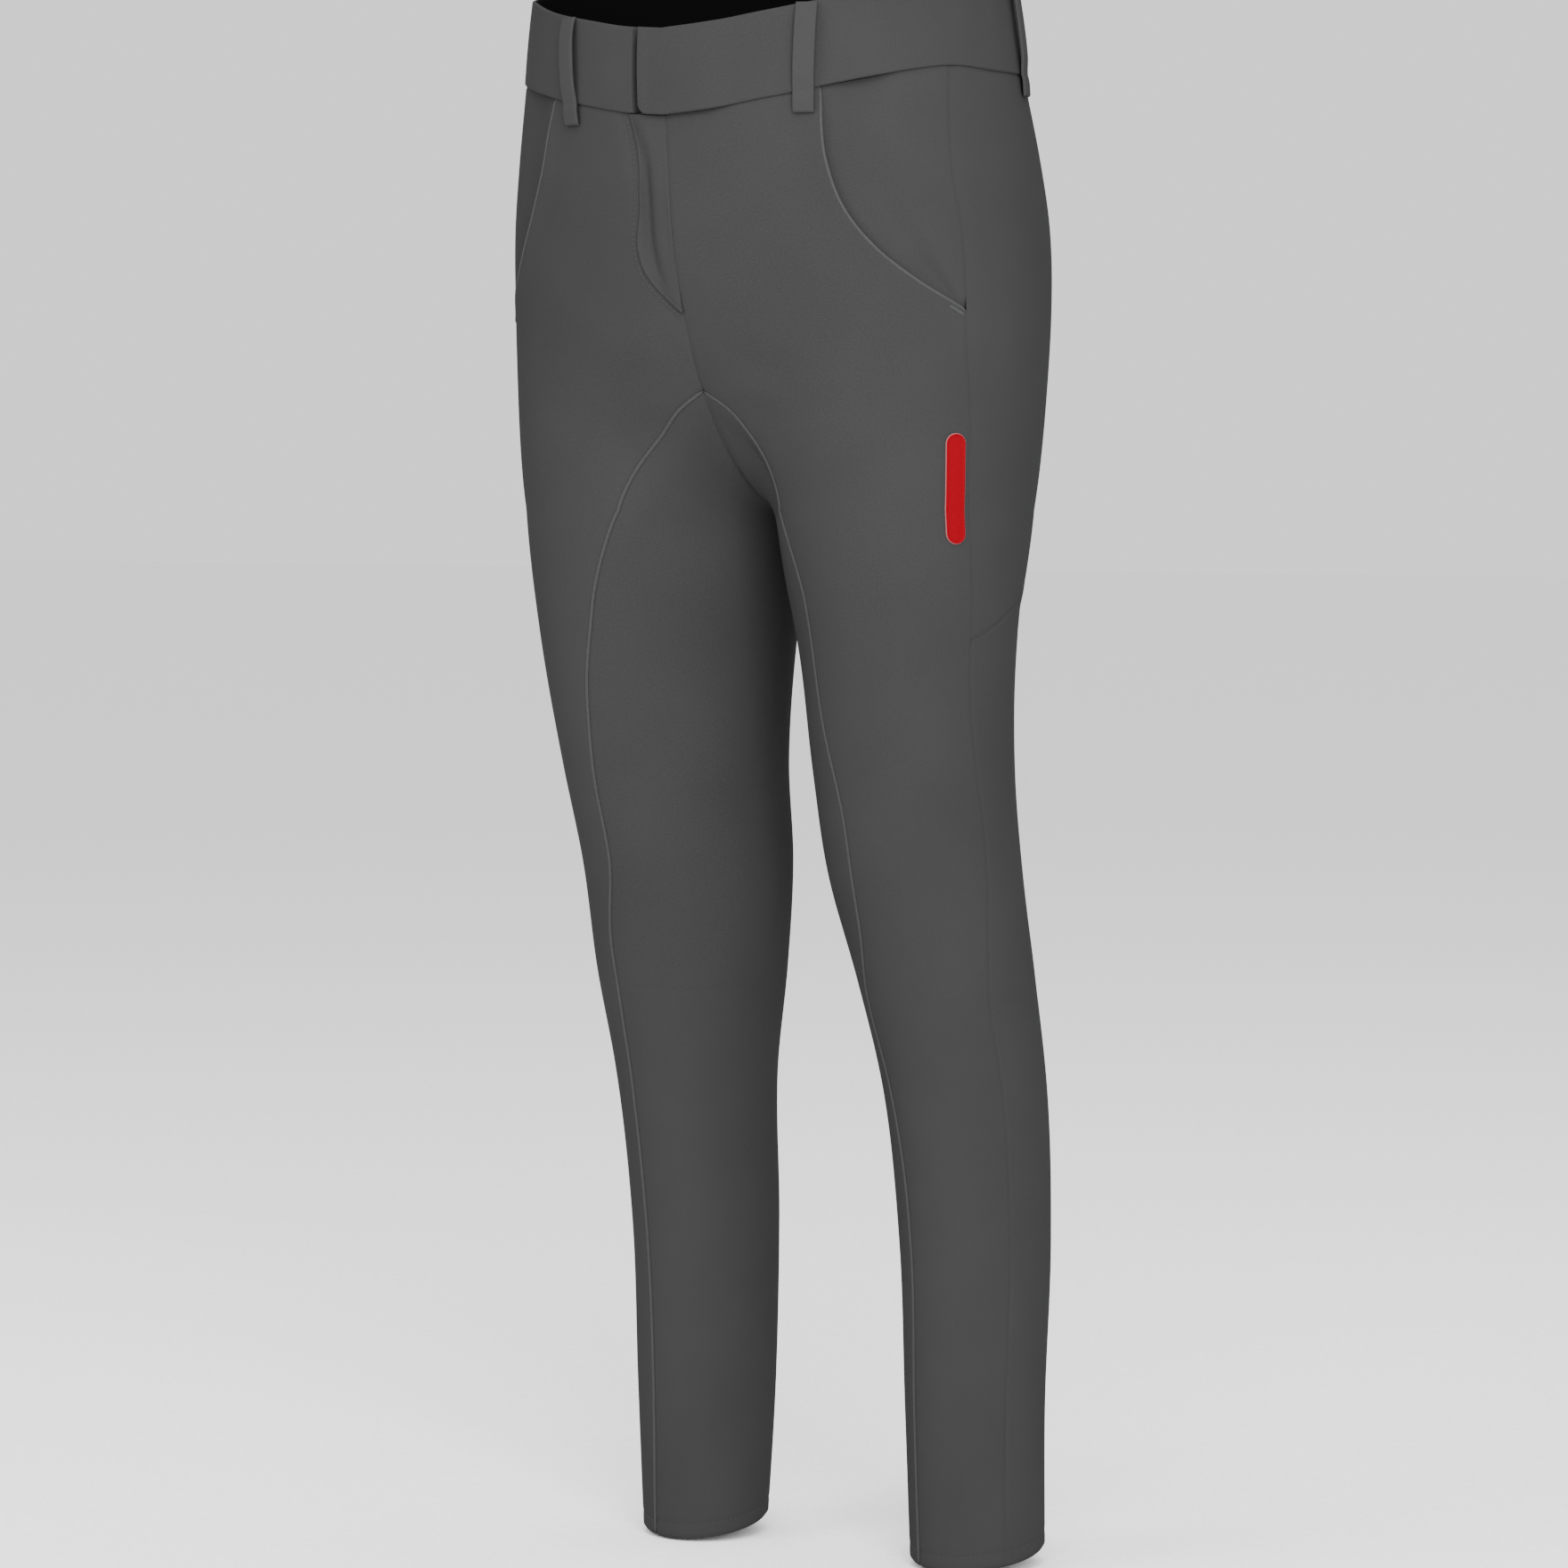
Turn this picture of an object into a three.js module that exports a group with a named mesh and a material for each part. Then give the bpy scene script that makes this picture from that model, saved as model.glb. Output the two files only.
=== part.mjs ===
// Riding breeches in the hollow shape that they take when worn, open at the waist and at both hems.
// Millimetres, +Z up. The wearer faces -Y, the wearer's left is +X, and the origin is the middle of the waist.
// Each half of the garment is one skin. A point of it has a round, from 0 at the centre front or the inside
// of the leg, by the front and the outer side, to 1 at the centre back or the inside again, and a height z.
import * as THREE from "three";

// Cloth and gaps
const CLOTH = 1.3;
const SEAM_HALF_GAP = 0.15;
const LAYER_GAP = 0.3;
const HEM_FOLD_HEIGHT = 11;
const HEM_FOLD_EXTRA = 0.9;
const BAND_OUT = 0.9;
const BAND_IN = 1.7;

// Heights
const CROTCH_Z = -292;
const BOW_TOP_Z = -125;
const SOFT_TOP_Z = -150;
const SOFT_END_Z = -365;
const BOW_REACH = 0.4;
const PATCH_BACK_TOP_Z = -150;
const KNEE_SEAM_Z = -588;
const HEM_MIDDLE_Z = -930.6;
const HEM_TILT = 7.1;

// The front closing
const LAP_PAST_MIDDLE = 16;
const UNDERLAP_PAST_MIDDLE = 18;
const LAP_RISE_END_ROUND = 0.05;
const LAP_FLAT_END_ROUND = 0.095;
const LAP_CORNER_RADIUS = 6;

// Half ellipses round the hips
const HIP_SECTIONS = table(["z", "halfWidth", "frontDepth", "backDepth"], [
  [40, 152, 112, 105],
  [0, 157, 115, 116],
  [-40, 162, 115, 128],
  [-80, 168, 112, 143],
  [-120, 173, 108, 153],
  [-175, 175, 101, 154],
  [-230, 173, 97, 152],
  [-292, 168, 92, 146],
]);

// Skewed ellipses round a leg. The skew is the product term that turns the long axis outwards in front.
const LEG_SECTIONS = table(["z", "innerGap", "middleY", "radiusX", "radiusY", "skew"], [
  [-125, 0.15, 13.1, 82.9, 98.8, -1020],
  [-200, 0.15, 16.3, 85.6, 98.6, -1060],
  [-292, 0.15, 15.6, 83.1, 88.2, -930],
  [-373, 15, 17.9, 71.2, 76.2, -1030],
  [-450, 21.9, 25.5, 64.4, 68.4, -640],
  [-510, 24.7, 38.4, 61.5, 64.5, -430],
  [-578, 36.7, 53.1, 56.1, 59.1, -340],
  [-640, 48, 65.4, 50, 52.9, -50],
  [-740, 53.7, 77.3, 45.3, 49.3, 10],
  [-840, 55.9, 77.9, 42.8, 44.9, -30],
  [-940, 60.7, 78.6, 39.7, 41.6, 110],
]);

// Edges of the cut pieces
const WAIST_TOP = table(["round", "z"], [
  [0, -10], [0.06, -7.4], [0.12, -2.6], [0.2, 4], [0.3, 13.5],
  [0.4, 19], [0.5, 24], [0.6, 28], [0.75, 31], [1, 33],
]);
const BAND_SEAM = table(["round", "z"], [
  [0, -60.5], [0.06, -58], [0.12, -53], [0.17, -49], [0.2, -46], [0.27, -40],
  [0.33, -35.6], [0.39, -33], [0.47, -34.5], [0.6, -34.5], [0.8, -31.5], [1, -30],
]);
const FRONT_EDGE = table(["z", "round"], [
  [-222, 0], [-232, 0.038], [-246, 0.074], [-267, 0.126], [-291, 0.17], [-313, 0.196], [-340, 0.218],
  [-373, 0.227], [-413, 0.236], [-471, 0.252], [-510, 0.251], [-550, 0.2505], [-588, 0.2315],
  [-630, 0.232], [-709, 0.24], [-850, 0.234], [-950, 0.235],
]);
const SIDE_SEAM = table(["z", "round"], [
  [-20, 0.39], [-96, 0.368], [-130, 0.374], [-176, 0.3775], [-200, 0.386], [-280, 0.443], [-369, 0.488],
  [-465, 0.498], [-519, 0.495], [-595, 0.494], [-700, 0.48], [-950, 0.47],
]);
const LEG_TURN = table(["z", "round"], [
  [-210, 0], [-222, 0], [-246, 0.008], [-267, 0.02], [-291, 0.026], [-340, 0.032], [-394, 0.046],
  [-510, 0.04], [-595, 0.075], [-640, 0.071], [-709, 0.061], [-950, 0.066],
]);
const SEAT_EDGE = table(["z", "round"], [
  [-150, 1], [-156, 0.95], [-168, 0.9], [-186, 0.855], [-210, 0.81], [-245, 0.76], [-290, 0.7],
  [-325, 0.646], [-337, 0.62], [-347, 0.585], [-354, 0.556], [-362, 0.524], [-369, 0.488],
]);
const POCKET_EDGE = table(["part", "leftRound", "rightRound", "z"], [
  [0, 0.197, 0.192, -46.3], [0.24, 0.195, 0.214, -89], [0.4, 0.209, 0.241, -114.7],
  [0.6, 0.2485, 0.283, -140.5], [0.78, 0.3, 0.322, -158.5], [1, 0.3775, 0.3775, -176],
]);
const FLY_EDGE = table(["z", "round"], [
  [-56, 0.055], [-81, 0.0435], [-112, 0.0425], [-143, 0.0465], [-150, 0.0432], [-160, 0.0325], [-168, 0.019],
  [-176, 0.001],
]);

// Grid counts
const BACK_PATCH_ROWS = [-150, -156, -168, -186, -210, -232, -247, -265, -280, -289];
const FRONT_PATCH_ROWS = [-222, -232, -247, -265, -280, -289];
const THIGH_ROWS = [
  -292, -305, -325, -347, -369, -394, -419, -444, -468, -492, -516, -540, -564, KNEE_SEAM_Z,
];
const CENTRE_FRONT_ROWS = [-90, -120, -150, -180, -203];
const SHIN_STEPS = 12;
const BAND_TO_POCKET_STEPS = 3;
const POCKET_STEPS = 7;
const POCKET_ROWS = 6;
const PATCH_FRONT_STEPS = 5;
const PATCH_BACK_STEPS = 10;
const BACK_STEPS = 7;

const COLOURS = { cloth: 0x4f4f50, band: 0x525253, patch: 0x484849, label: 0xc4081c };

// A table with named columns, its rows sorted by the first column. Each other column becomes a smooth curve
// of the first: cubic pieces whose slope at each row is that of the parabola through its neighbours.
function table(names, rows) {
  const sorted = [...rows].sort((a, b) => a[0] - b[0]);
  const at = sorted.map((row) => row[0]);
  const curves = {};
  names.slice(1).forEach((name, column) => {
    const value = sorted.map((row) => row[column + 1]);
    curves[name] = smoothCurve(at, value);
  });
  return curves;
}

function smoothCurve(at, value) {
  const last = at.length - 1;
  const rise = (i) => (value[i + 1] - value[i]) / (at[i + 1] - at[i]);
  const slope = at.map((_, i) => {
    if (i === 0) return rise(0);
    if (i === last) return rise(last - 1);
    const before = at[i] - at[i - 1];
    const after = at[i + 1] - at[i];
    return (after * rise(i - 1) + before * rise(i)) / (before + after);
  });
  return (x) => {
    let i = 0;
    while (i < last - 1 && x > at[i + 1]) i += 1;
    const width = at[i + 1] - at[i];
    const s = THREE.MathUtils.clamp((x - at[i]) / width, 0, 1);
    const s2 = s * s;
    const s3 = s2 * s;
    return (2 * s3 - 3 * s2 + 1) * value[i] + (s3 - 2 * s2 + s) * width * slope[i]
      + (3 * s2 - 2 * s3) * value[i + 1] + (s3 - s2) * width * slope[i + 1];
  };
}

const smoothStep = THREE.MathUtils.smoothstep;
const mix = THREE.MathUtils.lerp;

// Share of the leg's section in the whole section: none at the hips, all of it below the crotch. At the
// middle seams a quarter-ellipse law makes the crotch a round bow, and elsewhere an S-shaped one is smooth.
function legShare(round, z) {
  const down = THREE.MathUtils.clamp((BOW_TOP_Z - z) / (BOW_TOP_Z - CROTCH_Z), 0, 1);
  const bow = 1 - Math.sqrt(1 - down * down);
  const soft = smoothStep(SOFT_TOP_Z - z, 0, SOFT_TOP_Z - SOFT_END_Z);
  const nearMiddle = Math.exp(-((Math.sin(Math.PI * round) / BOW_REACH) ** 2));
  return mix(soft, bow, nearMiddle);
}

// The skin itself: a point of the left half, or of the right half with x mirrored.
function skin(side, round, z) {
  const share = legShare(round, z);
  const hipTurn = Math.PI * round;
  const hipDepth = Math.cos(hipTurn) > 0 ? HIP_SECTIONS.frontDepth(z) : HIP_SECTIONS.backDepth(z);
  const hipX = HIP_SECTIONS.halfWidth(z) * Math.sin(hipTurn);
  const hipY = -hipDepth * Math.cos(hipTurn);
  const legTurn = 2 * Math.PI * (round - Math.floor(round));
  const radiusX = LEG_SECTIONS.radiusX(z);
  const lean = LEG_SECTIONS.skew(z) / radiusX;
  const radiusY = Math.sqrt(LEG_SECTIONS.radiusY(z) ** 2 - lean * lean);
  const legMiddleX = radiusX + Math.max(SEAM_HALF_GAP, LEG_SECTIONS.innerGap(z));
  const legX = legMiddleX - radiusX * Math.cos(legTurn);
  const legY = LEG_SECTIONS.middleY(z) - lean * Math.cos(legTurn) - radiusY * Math.sin(legTurn);
  return new THREE.Vector3(side * mix(hipX, legX, share), mix(hipY, legY, share), z);
}

// Unit normal pointing out of the garment. Just above the crotch point it takes the value half a millimetre
// higher, because the bow's own slope has no value there.
function skinNormal(side, round, z) {
  const stepRound = 1e-4;
  const stepZ = 0.02;
  const safeZ = Math.abs(z - CROTCH_Z) < 0.5 ? CROTCH_Z + 0.5 : z;
  const along = skin(side, round + stepRound, safeZ).sub(skin(side, round - stepRound, safeZ));
  const up = skin(side, round, safeZ + stepZ).sub(skin(side, round, safeZ - stepZ));
  return along.cross(up).multiplyScalar(side).normalize();
}

// A place on the skin with the heights of a wall's two faces over it.
function spot(side, round, z, outer = 0, inner = -CLOTH) {
  const point = skin(side, round, z);
  const normal = skinNormal(side, round, z);
  return {
    outer: point.clone().addScaledVector(normal, outer),
    inner: point.clone().addScaledVector(normal, inner),
  };
}

// Millimetres along the skin for one whole round, at a place
function mmPerRoundAt(side, round, z) {
  const halfStep = 0.005;
  return skin(side, round + halfStep, z).distanceTo(skin(side, round - halfStep, z)) / (2 * halfStep);
}

// Joins grids of spots into one closed wall. Equal spots of two grids become one, so grids that share an edge
// are sewn together. A zip is a pair of edges that run downwards, with unlike numbers of spots, and the strip
// between them is filled too. Free edges are drawn in by half a seam gap and closed with a rim.
function wall(side, grids, { drawIn = SEAM_HALF_GAP, zips = [] } = {}) {
  const outer = [];
  const inner = [];
  const known = new Map();
  const indexOf = (s) => {
    const key = [s.outer.x, s.outer.y, s.outer.z].map((c) => Math.round(c * 500)).join();
    if (!known.has(key)) {
      known.set(key, outer.length);
      outer.push(s.outer.clone());
      inner.push(s.inner.clone());
    }
    return known.get(key);
  };
  const faces = [];
  const addFace = (a, b, c) => {
    if (a === b || b === c || c === a) return;
    faces.push(side > 0 ? [a, b, c] : [a, c, b]);
  };
  for (const grid of grids) {
    const numbers = grid.map((row) => row.map(indexOf));
    for (let i = 0; i + 1 < numbers.length; i += 1) {
      for (let j = 0; j + 1 < numbers[i].length; j += 1) {
        const [a, b, c, d] = [numbers[i][j], numbers[i][j + 1], numbers[i + 1][j + 1], numbers[i + 1][j]];
        addFace(a, d, c);
        addFace(a, c, b);
      }
    }
  }
  for (const [first, second] of zips) {
    const left = first.map(indexOf);
    const right = second.map(indexOf);
    let i = 0;
    let j = 0;
    while (i + 1 < left.length || j + 1 < right.length) {
      const leftIsNext = j + 1 === right.length
        || (i + 1 < left.length && first[i + 1].outer.z >= second[j + 1].outer.z);
      if (leftIsNext) addFace(left[i], left[i + 1], right[j]);
      else addFace(left[i], right[j + 1], right[j]);
      if (leftIsNext) i += 1;
      else j += 1;
    }
  }
  const rim = freeEdges(faces);
  drawEdgesIn(outer, inner, rim, drawIn);
  const count = outer.length;
  const triangles = [];
  for (const [a, b, c] of faces) triangles.push(a, b, c, a + count, c + count, b + count);
  for (const [a, b] of rim) triangles.push(b, a, a + count, b, a + count, b + count);
  return geometryOf([...outer, ...inner], triangles);
}

// Edges that only one face uses, in that face's direction, with the third corner of the face.
function freeEdges(faces) {
  const used = new Map();
  const keyOf = (a, b) => a + "_" + b;
  for (const [a, b, c] of faces) {
    used.set(keyOf(a, b), [a, b, c]);
    used.set(keyOf(b, c), [b, c, a]);
    used.set(keyOf(c, a), [c, a, b]);
  }
  return [...used.values()].filter(([a, b]) => !used.has(keyOf(b, a)));
}

// Moves each rim point into its piece, along the skin and square to the edge, mitred at corners.
function drawEdgesIn(outer, inner, rim, distance) {
  const inward = new Map();
  for (const [a, b, c] of rim) {
    const edge = outer[b].clone().sub(outer[a]).normalize();
    const across = outer[c].clone().sub(outer[a]);
    across.addScaledVector(edge, -across.dot(edge)).normalize();
    for (const end of [a, b]) inward.set(end, [...(inward.get(end) ?? []), across]);
  }
  const moves = new Map();
  for (const [index, [first, second]] of inward) {
    const other = second ?? first;
    const spread = Math.max(0.2, 1 + first.dot(other));
    moves.set(index, first.clone().add(other).multiplyScalar(distance / spread));
  }
  for (const [index, move] of moves) {
    outer[index].add(move);
    inner[index].add(move);
  }
}

function geometryOf(points, triangles) {
  const geometry = new THREE.BufferGeometry();
  geometry.setAttribute("position", new THREE.Float32BufferAttribute(points.flatMap((p) => p.toArray()), 3));
  geometry.setIndex(triangles);
  geometry.computeVertexNormals();
  return geometry;
}

// Places between two places, as fractions of the way
const between = (a, b, part) => ({ round: mix(a.round, b.round, part), z: mix(a.z, b.z, part) });
const evenSteps = (count) => Array.from({ length: count + 1 }, (_, i) => i / count);

// Seam places of one half. The legs of the worn garment turn a little, so the seams of the two halves differ.
const frontEdge = (side, z) => ({ round: FRONT_EDGE.round(z) - side * LEG_TURN.round(z), z });
const sideSeam = (side, z) => ({ round: SIDE_SEAM.round(z) - side * LEG_TURN.round(z), z });
const seatEdge = (side, z) => {
  const turn = LEG_TURN.round(z) * smoothStep(1 - SEAT_EDGE.round(z), 0, 0.4);
  return { round: SEAT_EDGE.round(z) - side * turn, z };
};
const bandSeam = (round) => ({ round, z: BAND_SEAM.z(round) });
const pocketEdge = (side, part) => {
  const round = side > 0 ? POCKET_EDGE.leftRound(part) : POCKET_EDGE.rightRound(part);
  return { round, z: part === 0 ? BAND_SEAM.z(round) : POCKET_EDGE.z(part) };
};
const hemZ = (round) => HEM_MIDDLE_Z - HEM_TILT * Math.sin(2 * Math.PI * round);
const shinParts = evenSteps(SHIN_STEPS);

// Height of a shin row at a seam or at a given round, from the knee seam down to the hem
const shinZ = (part, round) => mix(KNEE_SEAM_Z, hemZ(round), part);
const shinPlace = (seam, side, part) => seam(side, shinZ(part, seam(side, HEM_MIDDLE_Z).round));

// The turned-up hem makes the wall thicker on its inner side.
function legInner(z, round) {
  const overHem = z - hemZ(round);
  return -CLOTH - HEM_FOLD_EXTRA * (1 - smoothStep(overHem, HEM_FOLD_HEIGHT, HEM_FOLD_HEIGHT + 4));
}

// Where the side seam meets the waistband, and a side seam height for each row that meets it higher up
const SIDE_TOP_ROUND = 0.386;
const SIDE_TOP_Z = BAND_SEAM.z(SIDE_TOP_ROUND);
const POCKET_END_Z = POCKET_EDGE.z(1);
const SEAT_SIDE_Z = -369;

// The side seam in two stretches: beside the pocket, and from the pocket's end to the seat patch
const ROWS_ABOVE_THIGH = 1 + CENTRE_FRONT_ROWS.length + FRONT_PATCH_ROWS.length;
const HIP_SEAM_STEPS = ROWS_ABOVE_THIGH + THIGH_ROWS.indexOf(SEAT_SIDE_Z);
const pocketSeam = (side, part) => sideSeam(side, mix(SIDE_TOP_Z, POCKET_END_Z, part));
const hipSeam = (side, part) => sideSeam(side, mix(POCKET_END_Z, SEAT_SIDE_Z, part));

// A row of places straight from one place to another
const rowOf = (from, to, count) => evenSteps(count).map((part) => between(from, to, part));

// Front of one leg, from the waistband and the pocket's edge to the hem
function frontPanel(side) {
  const columns = BAND_TO_POCKET_STEPS + POCKET_STEPS;
  const top = evenSteps(columns).map((part) => {
    const along = part * columns;
    if (along < BAND_TO_POCKET_STEPS) return bandSeam((along / BAND_TO_POCKET_STEPS) * pocketEdge(side, 0).round);
    return pocketEdge(side, (along - BAND_TO_POCKET_STEPS) / POCKET_STEPS);
  });
  const left = [
    bandSeam(0),
    ...CENTRE_FRONT_ROWS.map((z) => ({ round: 0, z })),
    ...FRONT_PATCH_ROWS.map((z) => frontEdge(side, z)),
    ...THIGH_ROWS.map((z) => frontEdge(side, z)),
  ];
  const right = left.map((place, i) => {
    if (i <= HIP_SEAM_STEPS) return hipSeam(side, i / HIP_SEAM_STEPS);
    return sideSeam(side, place.z);
  });
  const bottom = rowOf(left.at(-1), right.at(-1), columns);
  const rows = coons(top, bottom, left, right);
  for (const part of shinParts.slice(1)) {
    const from = shinPlace(frontEdge, side, part);
    const to = shinPlace(sideSeam, side, part);
    rows.push(rowOf(from, to, columns).map(({ round }) => ({ round, z: shinZ(part, round) })));
  }
  return wall(side, [legSpots(side, rows)]);
}

// Rows of leg places as spots of a wall with the thicker hem
function legSpots(side, rows) {
  return rows.map((row) => row.map(({ round, z }) => spot(side, round, z, 0, legInner(z, round))));
}

// Fills the area between four edges of places, each edge a list, as a bilinear blend of the opposite edges.
// The places of the upper and the lower edge lie at the given parts of the way across.
function coons(top, bottom, left, right, parts = evenSteps(top.length - 1)) {
  const corner = (edge, key, across) => mix(edge[0][key], edge.at(-1)[key], across);
  return left.map((from, i) => top.map((_, j) => {
    const down = i / (left.length - 1);
    const across = parts[j];
    const blend = (key) => mix(top[j][key], bottom[j][key], down) + mix(from[key], right[i][key], across)
      - mix(corner(top, key, across), corner(bottom, key, across), down);
    return { round: blend("round"), z: blend("z") };
  }));
}

// Hip piece behind the pocket's opening. It runs on under the front, lower by one layer, and rises to the
// level of its neighbours towards the side seam.
function pocketPiece(side) {
  const underFront = 11;
  const sunk = 2.4;
  const stepsAcross = 5;
  const slopeStep = 0.01;
  const SINK_FROM_DEPTH = 152;
  const SINK_TO_DEPTH = 174;
  const rows = evenSteps(POCKET_ROWS).map((part) => {
    const edge = pocketEdge(side, part);
    const seam = pocketSeam(side, part);
    const next = pocketEdge(side, Math.min(1, part + slopeStep));
    const previous = pocketEdge(side, Math.max(0, part - slopeStep));
    const mmPerRound = mmPerRoundAt(side, edge.round, edge.z);
    const along = new THREE.Vector2((next.round - previous.round) * mmPerRound, next.z - previous.z);
    along.normalize();
    const away = part === 0 ? new THREE.Vector2(-1, 0) : new THREE.Vector2(along.y, -along.x);
    const reach = away.multiplyScalar(underFront);
    const hidden = { round: edge.round + reach.x / mmPerRound, z: edge.z + reach.y };
    if (part === 0) hidden.z = BAND_SEAM.z(hidden.round);
    const sunkAtSeam = sunk * smoothStep(-seam.z, SINK_FROM_DEPTH, SINK_TO_DEPTH);
    const visible = evenSteps(stepsAcross).map((across) => {
      const place = between(edge, seam, across);
      if (part === 0) place.z = BAND_SEAM.z(place.round);
      return { ...place, depth: mix(sunk, sunkAtSeam, smoothStep(across, 0.15, 0.95)) };
    });
    return [{ ...hidden, depth: sunk }, ...visible];
  });
  const spotOf = ({ round, z, depth }) => spot(side, round, z, -depth, -depth - CLOTH);
  return wall(side, [rows.map((row) => row.map(spotOf))]);
}

// Upper back, between the waistband, the side seam, the centre back and the seat patch
function backPanel(side) {
  const seatRows = [...BACK_PATCH_ROWS, ...THIGH_ROWS.slice(0, THIGH_ROWS.indexOf(SEAT_SIDE_Z) + 1)];
  const bottom = seatRows.map((z) => seatEdge(side, z)).reverse();
  bottom[0] = sideSeam(side, SEAT_SIDE_Z);
  const span = bottom.map((place) => (place.round - bottom[0].round) / (1 - bottom[0].round));
  const top = span.map((part) => bandSeam(mix(SIDE_TOP_ROUND, 1, part)));
  const left = evenSteps(BACK_STEPS).map((part) => sideSeam(side, mix(SIDE_TOP_Z, SEAT_SIDE_Z, part)));
  left[0] = bandSeam(SIDE_TOP_ROUND);
  const right = rowOf(bandSeam(1), { round: 1, z: PATCH_BACK_TOP_Z }, BACK_STEPS);
  const rows = coons(top, bottom, left, right, span);
  const spots = (places) => places.map(({ round, z }) => spot(side, round, z));
  const seam = [
    ...evenSteps(POCKET_ROWS).map((part) => pocketSeam(side, part)),
    ...evenSteps(HIP_SEAM_STEPS).slice(1).map((part) => hipSeam(side, part)),
  ];
  seam[0] = left[0];
  const grid = rows.map((row) => spots(row.slice(1)));
  return wall(side, [grid], { zips: [[spots(seam), grid.map((row) => row[0])]] });
}

// Full-seat patch: over the seat, between the legs and down the inside and back of the thigh to the knee
function seatPatch(side) {
  const frontHeights = [...FRONT_PATCH_ROWS, ...THIGH_ROWS];
  const front = frontHeights.map((z) => rowOf({ round: 0, z }, frontEdge(side, z), PATCH_FRONT_STEPS));
  const back = [...BACK_PATCH_ROWS, ...THIGH_ROWS].map((z) => {
    const outside = z > SEAT_SIDE_Z ? seatEdge(side, z) : sideSeam(side, z);
    return rowOf(outside, { round: 1, z }, PATCH_BACK_STEPS);
  });
  const spotOf = ({ round, z }) => spot(side, round, z);
  return wall(side, [front, back].map((rows) => rows.map((row) => row.map(spotOf))));
}

// Lower leg behind the front, from the knee seam to the hem, round the inside and the back
function calfPanel(side) {
  const rows = shinParts.map((part) => {
    const inFront = shinPlace(frontEdge, side, part).round;
    const outside = shinPlace(sideSeam, side, part).round - 1;
    const rounds = [
      ...rowOf({ round: outside, z: 0 }, { round: 0, z: 0 }, PATCH_BACK_STEPS),
      ...rowOf({ round: 0, z: 0 }, { round: inFront, z: 0 }, PATCH_FRONT_STEPS).slice(1),
    ];
    return rounds.map(({ round }) => ({ round, z: shinZ(part, round) }));
  });
  return wall(side, [legSpots(side, rows)]);
}

// Rounds for each millimetre along the waistband in front
const roundPerMm = 1 / (Math.PI * HIP_SECTIONS.halfWidth(-10));

// Waistband half. The left one laps over the right one in front, with a rounded lower corner.
function waistband(side) {
  const isOver = side > 0;
  const pastMiddle = (isOver ? LAP_PAST_MIDDLE : UNDERLAP_PAST_MIDDLE) * roundPerMm;
  const corner = LAP_CORNER_RADIUS * roundPerMm;
  const startSteps = isOver ? [0, corner * 0.12, corner * 0.5, corner] : [0];
  const rounds = [
    ...startSteps.map((step) => step - pastMiddle),
    -0.012, 0.012, 0.03, 0.05, 0.073, 0.097, 0.12, 0.15, 0.18, 0.212, 0.25, 0.29, 0.335, 0.386,
    0.44, 0.5, 0.56, 0.61, 0.66, 0.71, 0.76, 0.81, 0.86, 0.91, 0.955, 1,
  ];
  const fullRaise = isOver ? BAND_OUT + BAND_IN + LAYER_GAP : 0;
  const raise = (round) => fullRaise * (1 - smoothStep(round, LAP_RISE_END_ROUND, LAP_FLAT_END_ROUND));
  const cornerLift = (round) => {
    const fromEnd = (round + pastMiddle) / roundPerMm;
    if (!isOver || fromEnd >= LAP_CORNER_RADIUS) return 0;
    return LAP_CORNER_RADIUS - Math.sqrt(LAP_CORNER_RADIUS ** 2 - (LAP_CORNER_RADIUS - fromEnd) ** 2);
  };
  const rows = [0, 0.5, 1].map((part) => rounds.map((round) => {
    const topZ = WAIST_TOP.z(Math.abs(round));
    const lowZ = BAND_SEAM.z(Math.abs(round)) + cornerLift(round);
    return spot(side, round, mix(topZ, lowZ, part), BAND_OUT + raise(round), raise(round) - BAND_IN);
  }));
  return wall(side, [rows]);
}

// Flap over the front opening, on the wearer's right, with a curved lower end
function flyFlap() {
  const side = -1;
  const topGap = 0.6;
  const heights = [-60.5 - topGap, -75, -92, -112, -130, -143, -150, -156, -162, -168, -173, -176];
  const steps = 3;
  const places = heights.map((z) => rowOf({ round: 0, z }, { round: FLY_EDGE.round(z), z }, steps));
  for (const place of places[0]) place.z += BAND_SEAM.z(place.round) - BAND_SEAM.z(0);
  const rows = places.map((row) => row.map(({ round, z }) => spot(side, round, z, LAYER_GAP + CLOTH, LAYER_GAP)));
  return wall(side, [rows]);
}

// Belt loop: a strip that is sewn on at both ends and stands off the waistband between them
function beltLoop(side, roundAtTop, roundAtFoot) {
  const halfWidth = 6.3;
  const thickness = 1.8;
  const topZ = WAIST_TOP.z(roundAtTop);
  const seamZ = BAND_SEAM.z(roundAtFoot);
  const path = [
    [topZ - 0.5, BAND_OUT + LAYER_GAP], [topZ - 4, 2.4], [topZ - 12, 3.7], [mix(topZ, seamZ, 0.5), 4],
    [seamZ + 12, 3.5], [seamZ + 2, 2], [seamZ - 5, 1.3], [seamZ - 13, 0.45],
  ];
  const rows = path.map(([z, off]) => {
    const middle = mix(roundAtFoot, roundAtTop, (z - seamZ) / (topZ - seamZ));
    const mmPerRound = mmPerRoundAt(side, middle, z);
    const roundOf = (across) => middle + (across * halfWidth) / mmPerRound;
    return [-1, 0, 1].map((across) => spot(side, roundOf(across), z, off + thickness, off));
  });
  return wall(side, [rows], { drawIn: 0 });
}

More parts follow.
